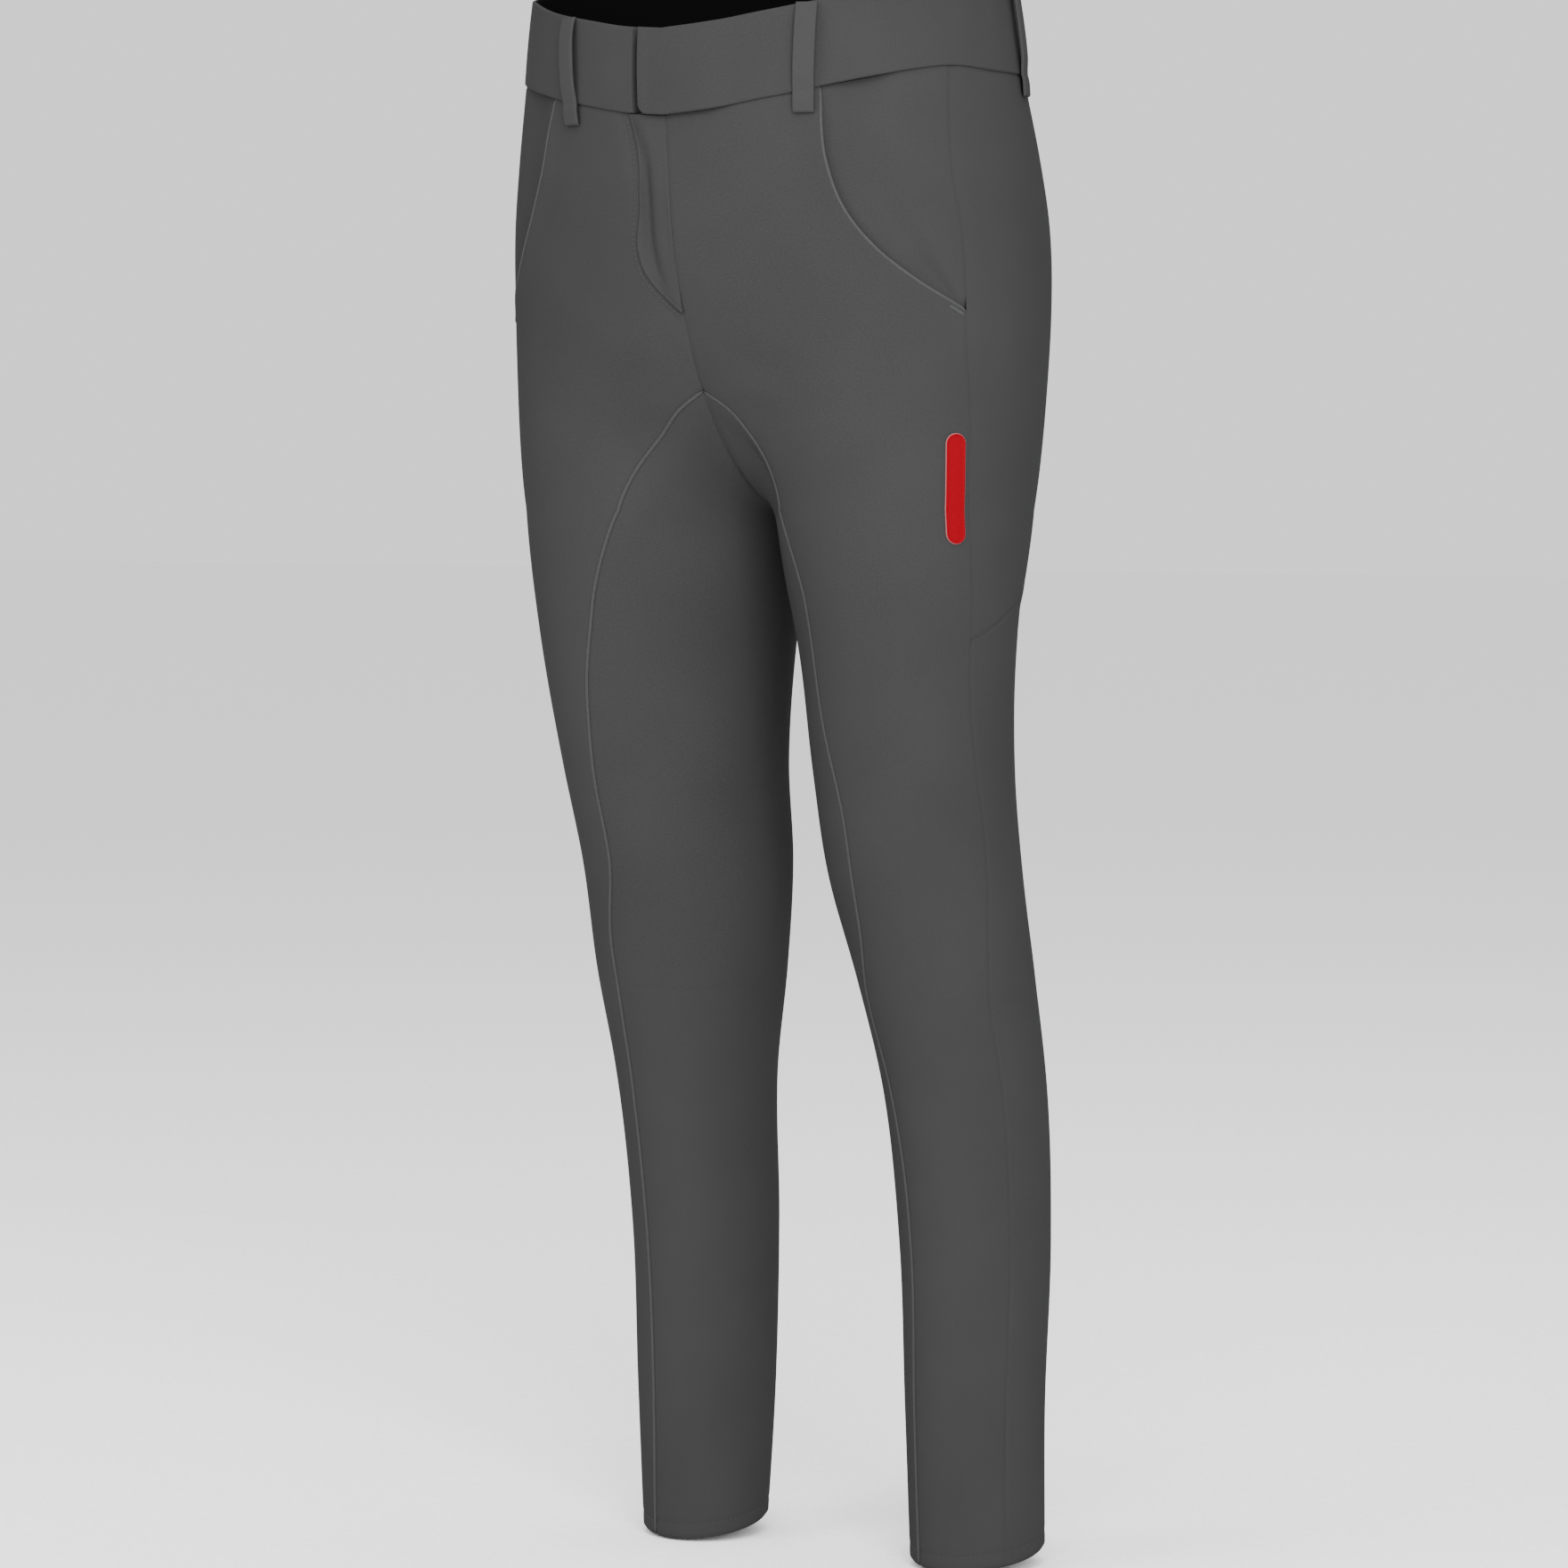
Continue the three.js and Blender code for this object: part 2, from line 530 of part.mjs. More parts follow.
// Slim badge with round ends on the outer front of the wearer's left thigh
function badge() {
  const side = 1;
  const length = 65;
  const halfWidth = 6.2;
  const thickness = 0.9;
  const top = { round: 0.386, z: -247 };
  const foot = { round: 0.4104, z: -312 };
  const fromEnd = [0.25, 1.2, 3, halfWidth, 17, 29.5];
  const stops = [...fromEnd, ...fromEnd.map((d) => length - d).reverse()];
  const rows = stops.map((stop) => {
    const toEnd = Math.min(stop, length - stop);
    const half = toEnd < halfWidth ? Math.sqrt(halfWidth ** 2 - (halfWidth - toEnd) ** 2) : halfWidth;
    const middle = between(top, foot, stop / length);
    const mmPerRound = mmPerRoundAt(side, middle.round, middle.z);
    return [-1, -0.5, 0, 0.5, 1].map((across) => (
      spot(side, middle.round + (across * half) / mmPerRound, middle.z, LAYER_GAP + thickness, LAYER_GAP)));
  });
  return wall(side, [rows], { drawIn: 0 });
}

const finish = (color, roughness) => new THREE.MeshStandardMaterial({ color, roughness, metalness: 0 });

function piece(name, geometry, color, roughness = 0.85) {
  const mesh = new THREE.Mesh(geometry, finish(color, roughness));
  mesh.name = name;
  return mesh;
}

const breeches = new THREE.Group();
for (const [side, word] of [[1, "left"], [-1, "right"]]) {
  breeches.add(
    piece("waistband_" + word, waistband(side), COLOURS.band),
    piece("front_" + word, frontPanel(side), COLOURS.cloth),
    piece("pocket_" + word, pocketPiece(side), COLOURS.cloth),
    piece("back_" + word, backPanel(side), COLOURS.cloth),
    piece("seat_patch_" + word, seatPatch(side), COLOURS.patch),
    piece("calf_" + word, calfPanel(side), COLOURS.cloth),
    piece("loop_side_" + word, beltLoop(side, 0.577, 0.58), COLOURS.band),
  );
}
breeches.add(
  piece("loop_front_left", beltLoop(1, 0.188, 0.177), COLOURS.band),
  piece("loop_front_right", beltLoop(-1, 0.16, 0.149), COLOURS.band),
  piece("loop_back", beltLoop(1, 1, 1), COLOURS.band),
  piece("fly_flap", flyFlap(), COLOURS.cloth),
  piece("badge", badge(), COLOURS.label, 0.45),
);

export default breeches;
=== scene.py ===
# %% [markdown]
# Riding breeches in the shape that they take when worn.
#
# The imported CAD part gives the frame: 19 plain cut pieces of cloth. This lesson makes each one again on a fine
# grid from the same tables and the same formula of the skin, with what sewn cloth has: rolled edges, grooves
# at the seams, piping, stitches, soft folds and a knitted surface. Lengths in the tables are millimetres.

import math

import bpy
import numpy as np
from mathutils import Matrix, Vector


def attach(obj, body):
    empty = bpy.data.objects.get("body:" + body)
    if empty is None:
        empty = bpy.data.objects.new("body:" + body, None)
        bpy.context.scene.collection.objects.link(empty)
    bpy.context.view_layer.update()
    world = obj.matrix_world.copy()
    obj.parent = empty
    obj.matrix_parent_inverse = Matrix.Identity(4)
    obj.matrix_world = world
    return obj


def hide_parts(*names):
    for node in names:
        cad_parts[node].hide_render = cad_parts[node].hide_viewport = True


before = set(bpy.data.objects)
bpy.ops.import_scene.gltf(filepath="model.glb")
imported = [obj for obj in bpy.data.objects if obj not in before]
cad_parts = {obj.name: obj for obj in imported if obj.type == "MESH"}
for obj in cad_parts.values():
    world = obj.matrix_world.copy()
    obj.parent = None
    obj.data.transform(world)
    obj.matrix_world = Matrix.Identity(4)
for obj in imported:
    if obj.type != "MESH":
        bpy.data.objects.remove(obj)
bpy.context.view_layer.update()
print("frame nodes:", len(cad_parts))

# %% [markdown]
# The same tables as in the CAD part. A half of the garment is a skin over "round", from 0 at the centre front
# or the inside of the leg to 1 at the centre back or the inside again, and over the height z.

# %% Sizes and tables
MM = 0.001
CLOTH = 1.3
LEAST_CLOTH = 0.6
GROOVE_ON_REVERSE = 0.6
CLOTH_UV_RADIUS = 60
HEM_FOLD_HEIGHT = 11
HEM_FOLD_EXTRA = 0.9
BAND_OUT = 0.9
BAND_IN = 1.7
LAYER_GAP = 0.3
CROTCH_Z = -292
BOW_TOP_Z = -125
SOFT_TOP_Z = -150
SOFT_END_Z = -365
BOW_REACH = 0.4
PATCH_FRONT_TOP_Z = -222
PATCH_BACK_TOP_Z = -150
SEAT_SIDE_Z = -369
KNEE_SEAM_Z = -588
HEM_MIDDLE_Z = -930.6
HEM_TILT = 7.1
SIDE_TOP_ROUND = 0.386
POCKET_SUNK = 2.4
POCKET_UNDER_FRONT = 11
POCKET_RISE = 1.8
POCKET_ROLL_REACH = 9
POCKET_HOLLOW = 3.0
POCKET_CLOTH_SUNK = POCKET_SUNK - 1.0
FLY_SINK = 1.5
UNDER_FLAP_SINK = 1.6
FLY_TOP_Z = -61.1
FLY_END_Z = -176
FLY_STITCH_INSET = 2.2
HEM_STITCH_HEIGHT = 9
HEM_STITCH_DEPTH = 0.45

# z, half width, depth in front, depth behind
HIP_SECTIONS = [
    (40, 152, 112, 105), (0, 157, 115, 116), (-40, 162, 115, 128), (-80, 168, 112, 143),
    (-120, 173, 108, 153), (-175, 175, 101, 154), (-230, 173, 97, 152), (-292, 168, 92, 146),
]
# z, gap at the middle, middle y, radius x, radius y, skew
LEG_SECTIONS = [
    (-125, 0.15, 13.1, 82.9, 98.8, -1020), (-200, 0.15, 16.3, 85.6, 98.6, -1060),
    (-292, 0.15, 15.6, 83.1, 88.2, -930), (-373, 15, 17.9, 71.2, 76.2, -1030),
    (-450, 21.9, 25.5, 64.4, 68.4, -640), (-510, 24.7, 38.4, 61.5, 64.5, -430),
    (-578, 36.7, 53.1, 56.1, 59.1, -340), (-640, 48, 65.4, 50, 52.9, -50),
    (-740, 53.7, 77.3, 45.3, 49.3, 10), (-840, 55.9, 77.9, 42.8, 44.9, -30),
    (-940, 60.7, 78.6, 39.7, 41.6, 110),
]
# round, z
WAIST_TOP = [
    (0, -10), (0.06, -7.4), (0.12, -2.6), (0.2, 4), (0.3, 13.5),
    (0.4, 19), (0.5, 24), (0.6, 28), (0.75, 31), (1, 33),
]
BAND_SEAM = [
    (0, -60.5), (0.06, -58), (0.12, -53), (0.17, -49), (0.2, -46), (0.27, -40),
    (0.33, -35.6), (0.39, -33), (0.47, -34.5), (0.6, -34.5), (0.8, -31.5), (1, -30),
]
# z, round
FRONT_EDGE = [
    (-222, 0), (-232, 0.038), (-246, 0.074), (-267, 0.126), (-291, 0.17), (-313, 0.196), (-340, 0.218),
    (-373, 0.227), (-413, 0.236), (-471, 0.252), (-510, 0.251), (-550, 0.2505), (-588, 0.2315),
    (-630, 0.232), (-709, 0.24), (-850, 0.234), (-950, 0.235),
]
SIDE_SEAM = [
    (-20, 0.39), (-96, 0.368), (-130, 0.374), (-176, 0.3775), (-200, 0.386), (-280, 0.443), (-369, 0.488),
    (-465, 0.498), (-519, 0.495), (-595, 0.494), (-700, 0.48), (-950, 0.47),
]
LEG_TURN = [
    (-210, 0), (-222, 0), (-246, 0.008), (-267, 0.02), (-291, 0.026), (-340, 0.032), (-394, 0.046),
    (-510, 0.04), (-595, 0.075), (-640, 0.071), (-709, 0.061), (-950, 0.066),
]
SEAT_EDGE = [
    (-150, 1), (-156, 0.95), (-168, 0.9), (-186, 0.855), (-210, 0.81), (-245, 0.76), (-290, 0.7),
    (-325, 0.646), (-337, 0.62), (-347, 0.585), (-354, 0.556), (-362, 0.524), (-369, 0.488),
]
FLY_EDGE = [
    (-56, 0.055), (-81, 0.0435), (-112, 0.0425), (-143, 0.0465), (-150, 0.0432), (-160, 0.0325),
    (-168, 0.019), (-176, 0.001),
]
# part of the way, round on the left, round on the right, z
POCKET_EDGE = [
    (0, 0.197, 0.192, -46.3), (0.24, 0.195, 0.214, -89), (0.4, 0.209, 0.241, -114.7),
    (0.6, 0.2485, 0.283, -140.5), (0.78, 0.3, 0.322, -158.5), (1, 0.3775, 0.3775, -176),
]

# %% [markdown]
# The cloth lies on one smooth skin that parts into two legs. It could be sculpted, or simulated on a figure, but
# cloth that fits closely has few folds, so a formula gives the form, with smooth curves through the tables.

# %% Skin


def curve(rows, column, at):
    """Height of a smooth curve at the places given: cubic pieces through the table's rows, level beyond them.
    The slope at a row is that of the parabola through it and its two neighbours."""
    knots = np.array(sorted(rows), float)
    x, y = knots[:, 0], knots[:, column]
    slope = np.gradient(y, x)
    i = np.clip(np.searchsorted(x, at) - 1, 0, len(x) - 2)
    width = x[i + 1] - x[i]
    s = np.clip((at - x[i]) / width, 0, 1)
    value = (2 * s**3 - 3 * s**2 + 1) * y[i] + (s**3 - 2 * s**2 + s) * width * slope[i]
    return value + (3 * s**2 - 2 * s**3) * y[i + 1] + (s**3 - s**2) * width * slope[i + 1]


def mix(a, b, part):
    """The value that lies this part of the way from a to b."""
    return a + (b - a) * part


def smooth_step(x, low, high):
    """0 below low, 1 above high, and 3t squared minus 2t cubed between them."""
    t = np.clip((x - low) / (high - low), 0, 1)
    return t * t * (3 - 2 * t)


def leg_share(round_, z):
    """Share of the leg's section: a quarter-ellipse law near the middle seams, an S-shaped one elsewhere."""
    down = np.clip((BOW_TOP_Z - z) / (BOW_TOP_Z - CROTCH_Z), 0, 1)
    bow = 1 - np.sqrt(1 - down**2)
    soft = smooth_step(SOFT_TOP_Z - z, 0, SOFT_TOP_Z - SOFT_END_Z)
    return mix(soft, bow, np.exp(-((np.sin(np.pi * round_) / BOW_REACH) ** 2)))


def skin(side, round_, z):
    """Points of one half, in millimetres: a half ellipse round the hips blended with a skewed leg ellipse."""
    round_, z = np.broadcast_arrays(np.asarray(round_, float), np.asarray(z, float))
    share = leg_share(round_, z)
    hip_turn = np.pi * round_
    depth = np.where(np.cos(hip_turn) > 0, curve(HIP_SECTIONS, 2, z), curve(HIP_SECTIONS, 3, z))
    hip_x = curve(HIP_SECTIONS, 1, z) * np.sin(hip_turn)
    hip_y = -depth * np.cos(hip_turn)
    gap, middle_y, radius_x, radius_y, skew = (curve(LEG_SECTIONS, column, z) for column in range(1, 6))
    lean = skew / radius_x
    across = np.sqrt(radius_y**2 - lean**2)
    leg_turn = 2 * np.pi * (round_ - np.floor(round_))
    leg_x = radius_x + np.maximum(0.15, gap) - radius_x * np.cos(leg_turn)
    leg_y = middle_y - lean * np.cos(leg_turn) - across * np.sin(leg_turn)
    return np.stack([side * mix(hip_x, leg_x, share), mix(hip_y, leg_y, share), z], axis=-1)


def unit(vectors):
    """Vectors of length 1 in the same directions."""
    return vectors / np.maximum(np.linalg.norm(vectors, axis=-1, keepdims=True), 1e-12)


def skin_normal(side, round_, z):
    """Outward unit normal: the cross product of small steps round the skin and up it."""
    round_, z = np.broadcast_arrays(np.asarray(round_, float), np.asarray(z, float))
    safe_z = np.where(np.abs(z - CROTCH_Z) < 0.5, CROTCH_Z + 0.5, z)
    along = skin(side, round_ + 1e-4, safe_z) - skin(side, round_ - 1e-4, safe_z)
    up = skin(side, round_, safe_z + 0.02) - skin(side, round_, safe_z - 0.02)
    return unit(side * np.cross(along, up))


def mm_per_round(side, round_, z):
    """Millimetres along the skin for one whole round."""
    return np.linalg.norm(skin(side, round_ + 0.005, z) - skin(side, round_ - 0.005, z), axis=-1) * 100


def hem_z(round_):
    """Height of the hem's edge, lower behind than in front."""
    return HEM_MIDDLE_Z - HEM_TILT * np.sin(2 * np.pi * round_)


def front_edge(side, z):
    """Round of the seam between the front and the patch or the calf, with the leg's turn."""
    return curve(FRONT_EDGE, 1, z) - side * curve(LEG_TURN, 1, z)


def side_seam(side, z):
    """Round of the side seam, with the leg's turn."""
    return curve(SIDE_SEAM, 1, z) - side * curve(LEG_TURN, 1, z)


def seat_edge(side, z):
    """Round of the patch's curved upper edge. The leg's turn fades out towards the centre back."""
    near_side = smooth_step(1 - curve(SEAT_EDGE, 1, z), 0, 0.4)
    return curve(SEAT_EDGE, 1, z) - side * curve(LEG_TURN, 1, z) * near_side


def band_seam(round_):
    """Height of the seam under the waistband."""
    return curve(BAND_SEAM, 1, np.abs(round_))


def pocket_edge(side, part):
    """Rounds and heights of the pocket's edge at parts of the way along it."""
    return curve(POCKET_EDGE, 1 if side > 0 else 2, part), curve(POCKET_EDGE, 3, part)


SIDE_TOP_Z = float(band_seam(SIDE_TOP_ROUND))
POCKET_END_Z = POCKET_EDGE[-1][3]
print("skin at the left knee, mm:", skin(1, 0.25, KNEE_SEAM_Z).round(1))

# %% [markdown]
# Seams and soft folds are lines on the skin, each a list of rounds and heights. Sewn cloth sinks along a seam,
# and rises or sinks softly along a fold. A bump could only shade them, so they move the points of the mesh.

# %% Lines on the skin


def spread(count, ends=0.8):
    """Parts from 0 to 1 with closer steps at both ends: s minus a share of sin(2 pi s) over 2 pi."""
    s = np.linspace(0, 1, count + 1)
    return s - ends * np.sin(2 * np.pi * s) / (2 * np.pi)


def steps(low, high, count):
    """Even steps from low to high."""
    return np.linspace(low, high, count + 1)


def seam_places(side):
    """Rounds and heights along each seam of one half."""
    patch_z = steps(PATCH_FRONT_TOP_Z, -940, 700)
    side_z = steps(SIDE_TOP_Z, -940, 700)
    seat_z = steps(PATCH_BACK_TOP_Z, SEAT_SIDE_Z, 300)
    band_round = steps(0, 1, 400)
    pocket_part = steps(0, 1, 180)
    middle_z = steps(-60, PATCH_FRONT_TOP_Z, 120)
    back_z = steps(-30, -235, 160)
    knee_round = steps(side_seam(side, KNEE_SEAM_Z) - 1, front_edge(side, KNEE_SEAM_Z), 300)
    return {
        "patch": (front_edge(side, patch_z), patch_z),
        "side": (side_seam(side, side_z), side_z),
        "seat": (seat_edge(side, seat_z), seat_z),
        "band": (band_round, band_seam(band_round)),
        "pocket": pocket_edge(side, pocket_part),
        "middle": (0 * middle_z, middle_z),
        "centre_back": (0 * back_z + 1, back_z),
        "knee": (knee_round, 0 * knee_round + KNEE_SEAM_Z),
    }


def smooth_line(stops, count=60):
    """Points of a smooth line through a few stops (round, z), as rounds and heights."""
    table = [(i, round_, z) for i, (round_, z) in enumerate(stops)]
    part = steps(0, len(stops) - 1, count)
    return curve(table, 1, part), curve(table, 2, part)


def nearest(points, line):
    """Distance from each point to the nearest point of a line, and that point's part of the way along it."""
    flat = points.reshape(-1, 3)
    distance = np.empty(len(flat))
    index = np.empty(len(flat), int)
    for start in range(0, len(flat), 4000):
        square = ((flat[start : start + 4000, None, :] - line[None, :, :]) ** 2).sum(-1)
        index[start : start + 4000] = square.argmin(1)
        distance[start : start + 4000] = np.sqrt(square.min(1))
    return distance.reshape(points.shape[:-1]), (index / (len(line) - 1)).reshape(points.shape[:-1])


# seam, depth of the groove, its half width
SEAM_GROOVES = [
    ("patch", -0.9, 1.4), ("side", -0.45, 1.2), ("seat", -0.7, 1.3), ("band", -0.7, 1.6), ("middle", -0.35, 1.2),
    ("centre_back", -0.6, 1.4), ("knee", -0.06, 1.2),
]
# side, height, half width, stops (round, z)
FOLDS = [
    (-1, -5.0, 5.0, [(0.066, -40), (0.037, -76), (0.033, -100), (0.032, -140), (0.02, -164), (-0.01, -196)]),
    (-1, -2.0, 5.5, [(0.06, -48), (0.053, -62), (0.046, -82), (0.041, -108)]),
    (-1, 1.2, 1.2, [(0.0405, -70), (0.0395, -100), (0.0395, -125), (0.0425, -148)]),
    (-1, 0.6, 1.0, [(0.004, -70), (0.002, -110), (0.0015, -145), (0.001, -190)]),
    (-1, -2.5, 7.0, [(0.0, -228), (0.03, -262), (0.055, -300), (0.06, -340)]),
    (1, -7.0, 10.0, [(0.012, -228), (0.045, -252), (0.08, -272), (0.105, -292), (0.115, -325), (0.11, -375)]),
    (1, 0.9, 9.0, [(0.015, -222), (0.09, -222), (0.17, -232)]),
    (-1, 0.8, 9.0, [(0.015, -228), (0.09, -232), (0.16, -246)]),
    (1, -0.8, 10.0, [(0.03, -200), (0.1, -206), (0.19, -214)]),
    (-1, -0.7, 10.0, [(0.03, -205), (0.1, -212), (0.18, -226)]),
    (1, 0.9, 8.0, [(0.62, -352), (0.72, -344), (0.84, -330)]),
    (-1, 0.9, 8.0, [(0.62, -352), (0.72, -346), (0.86, -332)]),
    (1, -1.0, 7.0, [(0.6, -366), (0.72, -362), (0.86, -352)]),
    (-1, -1.0, 7.0, [(0.6, -366), (0.74, -364), (0.86, -354)]),
    (1, 1.0, 7.0, [(0.62, -556), (0.75, -562), (0.9, -556)]),
    (-1, 1.0, 7.0, [(0.6, -560), (0.75, -566), (0.92, -560)]),
    (1, -1.1, 6.5, [(0.6, -574), (0.75, -578), (0.92, -570)]),
    (-1, -1.1, 6.5, [(0.62, -576), (0.75, -580), (0.9, -574)]),
    (1, 0.8, 7.0, [(0.64, -606), (0.76, -612), (0.9, -604)]),
    (-1, 0.8, 7.0, [(0.64, -608), (0.76, -612), (0.9, -606)]),
]
HALVES = {"left": 1, "right": -1}
SEAM_LINES = {}
for side in HALVES.values():
    SEAM_LINES[side] = {name: skin(side, *line) for name, line in seam_places(side).items()}
FOLD_LINES = []
for side, height, width, stops in FOLDS:
    FOLD_LINES.append((side, height, width, skin(side, *smooth_line(stops))))


def relief(side, points):
    """Millimetres that the cloth stands out of the skin: grooves along seams, and folds that fade at their ends."""
    out = np.zeros(points.shape[:-1])
    for name, depth, width in SEAM_GROOVES:
        distance, _ = nearest(points, SEAM_LINES[side][name])
        out += depth * np.exp(-((distance / width) ** 2))
    for fold_side, height, width, line in FOLD_LINES:
        if fold_side != side:
            continue
        distance, part = nearest(points, line)
        out += height * np.exp(-((distance / width) ** 2)) * np.sin(np.pi * part) ** 2
    return out


def fly_sink(side, round_, z):
    """How far the flap and the front under it sink towards the centre line, where the flap is sewn in."""
    if side > 0:
        return 0.0 * z
    across = np.clip(np.abs(round_) / np.maximum(curve(FLY_EDGE, 1, z), 1e-3), 0, 1)
    return FLY_SINK * (1 - smooth_step(across, 0.0, 0.8)) * smooth_step(z, -178, -160)


def pocket_rise(part):
    """How far the front stands up along its pocket edge: most in the middle, nothing at both ends."""
    return POCKET_RISE * smooth_step(part, 0, 0.15) * (1 - smooth_step(part, 0.75, 0.98))


def round_edge(distance, radius):
    """How far a face drops at a distance from an edge that is rounded with this radius."""
    inside = np.clip(radius - distance, 0, radius)
    return radius - np.sqrt(np.maximum(radius**2 - inside**2, 0))


print("seam lines a half:", len(SEAM_LINES[1]), "folds:", len(FOLDS))

# %% [markdown]
# Cloth has two faces and a thickness. The Solidify modifier could give it, but here the reverse side has its own
# depth at the hem and under a fold, so both faces are grids of points. Points that two grids share become one,
# and a rim closes the free edges.

# %% Mesh making


def grid_faces(rows, columns):
    """Corner numbers of the quads of a grid, row by row."""
    number = np.arange(rows * columns).reshape(rows, columns)
    return np.stack([number[:-1, :-1], number[1:, :-1], number[1:, 1:], number[:-1, 1:]], -1).reshape(-1, 4)


def make_object(name, points, faces, material, uv=None, reverse_from=None):
    """A mesh object on the body, with smooth faces and sharp edges over 50 degrees, from points in mm.
    Faces of which every corner has the number reverse_from or more are the reverse side of the cloth."""
    mesh = bpy.data.meshes.new(name)
    mesh.from_pydata((points * MM).tolist(), [], faces)
    mesh.polygons.foreach_set("use_smooth", np.ones(len(mesh.polygons), bool))
    mesh.set_sharp_from_angle(angle=math.radians(50))
    if uv is not None:
        corners = np.empty(len(mesh.loops), np.int32)
        mesh.loops.foreach_get("vertex_index", corners)
        layer = mesh.uv_layers.new(name="cloth")
        layer.data.foreach_set("uv", (uv[corners] * MM).astype(np.float32).ravel())
    mesh.materials.append(material)
    # The inner faces take the near-black reverse material, painted shade inside the garment.
    if reverse_from is not None:
        mesh.materials.append(REVERSE_PAINTED_SHADE)
        is_reverse = np.array([min(face) >= reverse_from for face in faces], np.int32)
        mesh.polygons.foreach_set("material_index", is_reverse)
    made = bpy.data.objects.new(name, mesh)
    bpy.context.scene.collection.objects.link(made)
    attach(made, "root")
    return made


def soften(points, weight, passes=90):
    """Moves inner points of a grid towards the mean of their four neighbours, by their weight, some times over."""
    points = points.copy()
    inner = weight[1:-1, 1:-1, None]
    for _ in range(passes):
        mean = (points[:-2, 1:-1] + points[2:, 1:-1] + points[1:-1, :-2] + points[1:-1, 2:]) / 4
        points[1:-1, 1:-1] += inner * (mean - points[1:-1, 1:-1])
    return points


def wall(name, side, grids, material):
    """Closed wall of cloth from grids of outer points, inner points, uv in mm and perhaps the inner face's own uv.
    Also gives the area of its outer face."""
    outer = np.concatenate([g[0].reshape(-1, 3) for g in grids])
    inner = np.concatenate([g[1].reshape(-1, 3) for g in grids])
    uv = np.concatenate([g[2].reshape(-1, 2) for g in grids])
    inner_uv = np.concatenate([g[-1].reshape(-1, 2) for g in grids])
    starts = np.cumsum([0] + [g[0][..., 0].size for g in grids[:-1]])
    faces = np.concatenate([grid_faces(*g[0].shape[:2]) + start for g, start in zip(grids, starts)])
    rounded = (outer * 200).round().astype(np.int64)
    _, first, same = np.unique(rounded, axis=0, return_index=True, return_inverse=True)
    faces = same.ravel()[faces]
    outer, inner, uv, inner_uv = outer[first], inner[first], uv[first], inner_uv[first]
    if side < 0:
        faces = faces[:, ::-1]
    edges = np.stack([faces, np.roll(faces, -1, axis=1)], -1).reshape(-1, 2)
    edges = edges[edges[:, 0] != edges[:, 1]]
    key = edges[:, 0] * len(outer) + edges[:, 1]
    back_key = edges[:, 1] * len(outer) + edges[:, 0]
    rim = edges[~np.isin(key, back_key)]
    count = len(outer)
    rim_faces = np.stack([rim[:, 1], rim[:, 0], rim[:, 0] + count, rim[:, 1] + count], -1)
    every = np.concatenate([faces, faces[:, ::-1] + count, rim_faces])
    trimmed = [list(dict.fromkeys(face)) for face in every.tolist()]
    kept = [face for face in trimmed if len(face) > 2]
    points = np.concatenate([outer, inner])
    made = make_object(name, points, kept, material, np.concatenate([uv, inner_uv]), reverse_from=count)
    a, b, c, d = (outer[faces[:, k]] for k in range(4))
    area = 0.5 * np.linalg.norm(np.cross(c - a, d - b), axis=-1).sum() * MM * MM
    return made, area


def cloth_grid(side, round_, z, out=0.0, back=-CLOTH, with_relief=True):
    """Outer and inner points and the uv of a grid of cloth. out and back are the heights of its faces."""
    points = skin(side, round_, z)
    normal = skin_normal(side, round_, z)
    lift = relief(side, points) if with_relief else 0.0
    top = np.asarray(out + lift)
    follow = GROOVE_ON_REVERSE * np.minimum(lift, 0) + np.maximum(lift, 0)
    under = np.minimum(back + follow, top - LEAST_CLOTH)
    outer = points + normal * top[..., None]
    inner = points + normal * under[..., None]
    uv = np.stack([side * (round_ - 0.25) * 2 * np.pi * CLOTH_UV_RADIUS, z + 0 * round_], -1)
    return outer, inner, uv


print("mesh making ready")

# %% [markdown]
# The cloth is a matt, dense knit. Its loops are far too small to model, so a shader node group gives a fine relief
# and a slight change of tone from cloth coordinates in metres. Each cloth uses the group with its own pitch.

# %% Knit and materials


def new_group(name, inputs, outputs):
    """A shader node group with the sockets named, and its input and output nodes."""
    group = bpy.data.node_groups.new(name, "ShaderNodeTree")
    for kind, socket, value in inputs:
        made = group.interface.new_socket(name=socket, in_out="INPUT", socket_type="NodeSocket" + kind)
        if value is not None:
            made.default_value = value
    for kind, socket in outputs:
        group.interface.new_socket(name=socket, in_out="OUTPUT", socket_type="NodeSocket" + kind)
    return group, group.nodes.new("NodeGroupInput"), group.nodes.new("NodeGroupOutput")


def math_node(tree, operation, *values):
    """A maths node whose inputs are numbers or sockets."""
    node = tree.nodes.new("ShaderNodeMath")
    node.operation = operation
    for socket, value in zip(node.inputs, values):
        if isinstance(value, (int, float)):
            socket.default_value = value
        else:
            tree.links.new(value, socket)
    return node.outputs[0]


def noise_node(tree, vector, scale, detail=2.0):
    """Noise from 0 to 1 at this scale."""
    node = tree.nodes.new("ShaderNodeTexNoise")
    node.inputs["Scale"].default_value = scale
    node.inputs["Detail"].default_value = detail
    tree.links.new(vector, node.inputs["Vector"])
    return node.outputs[0]


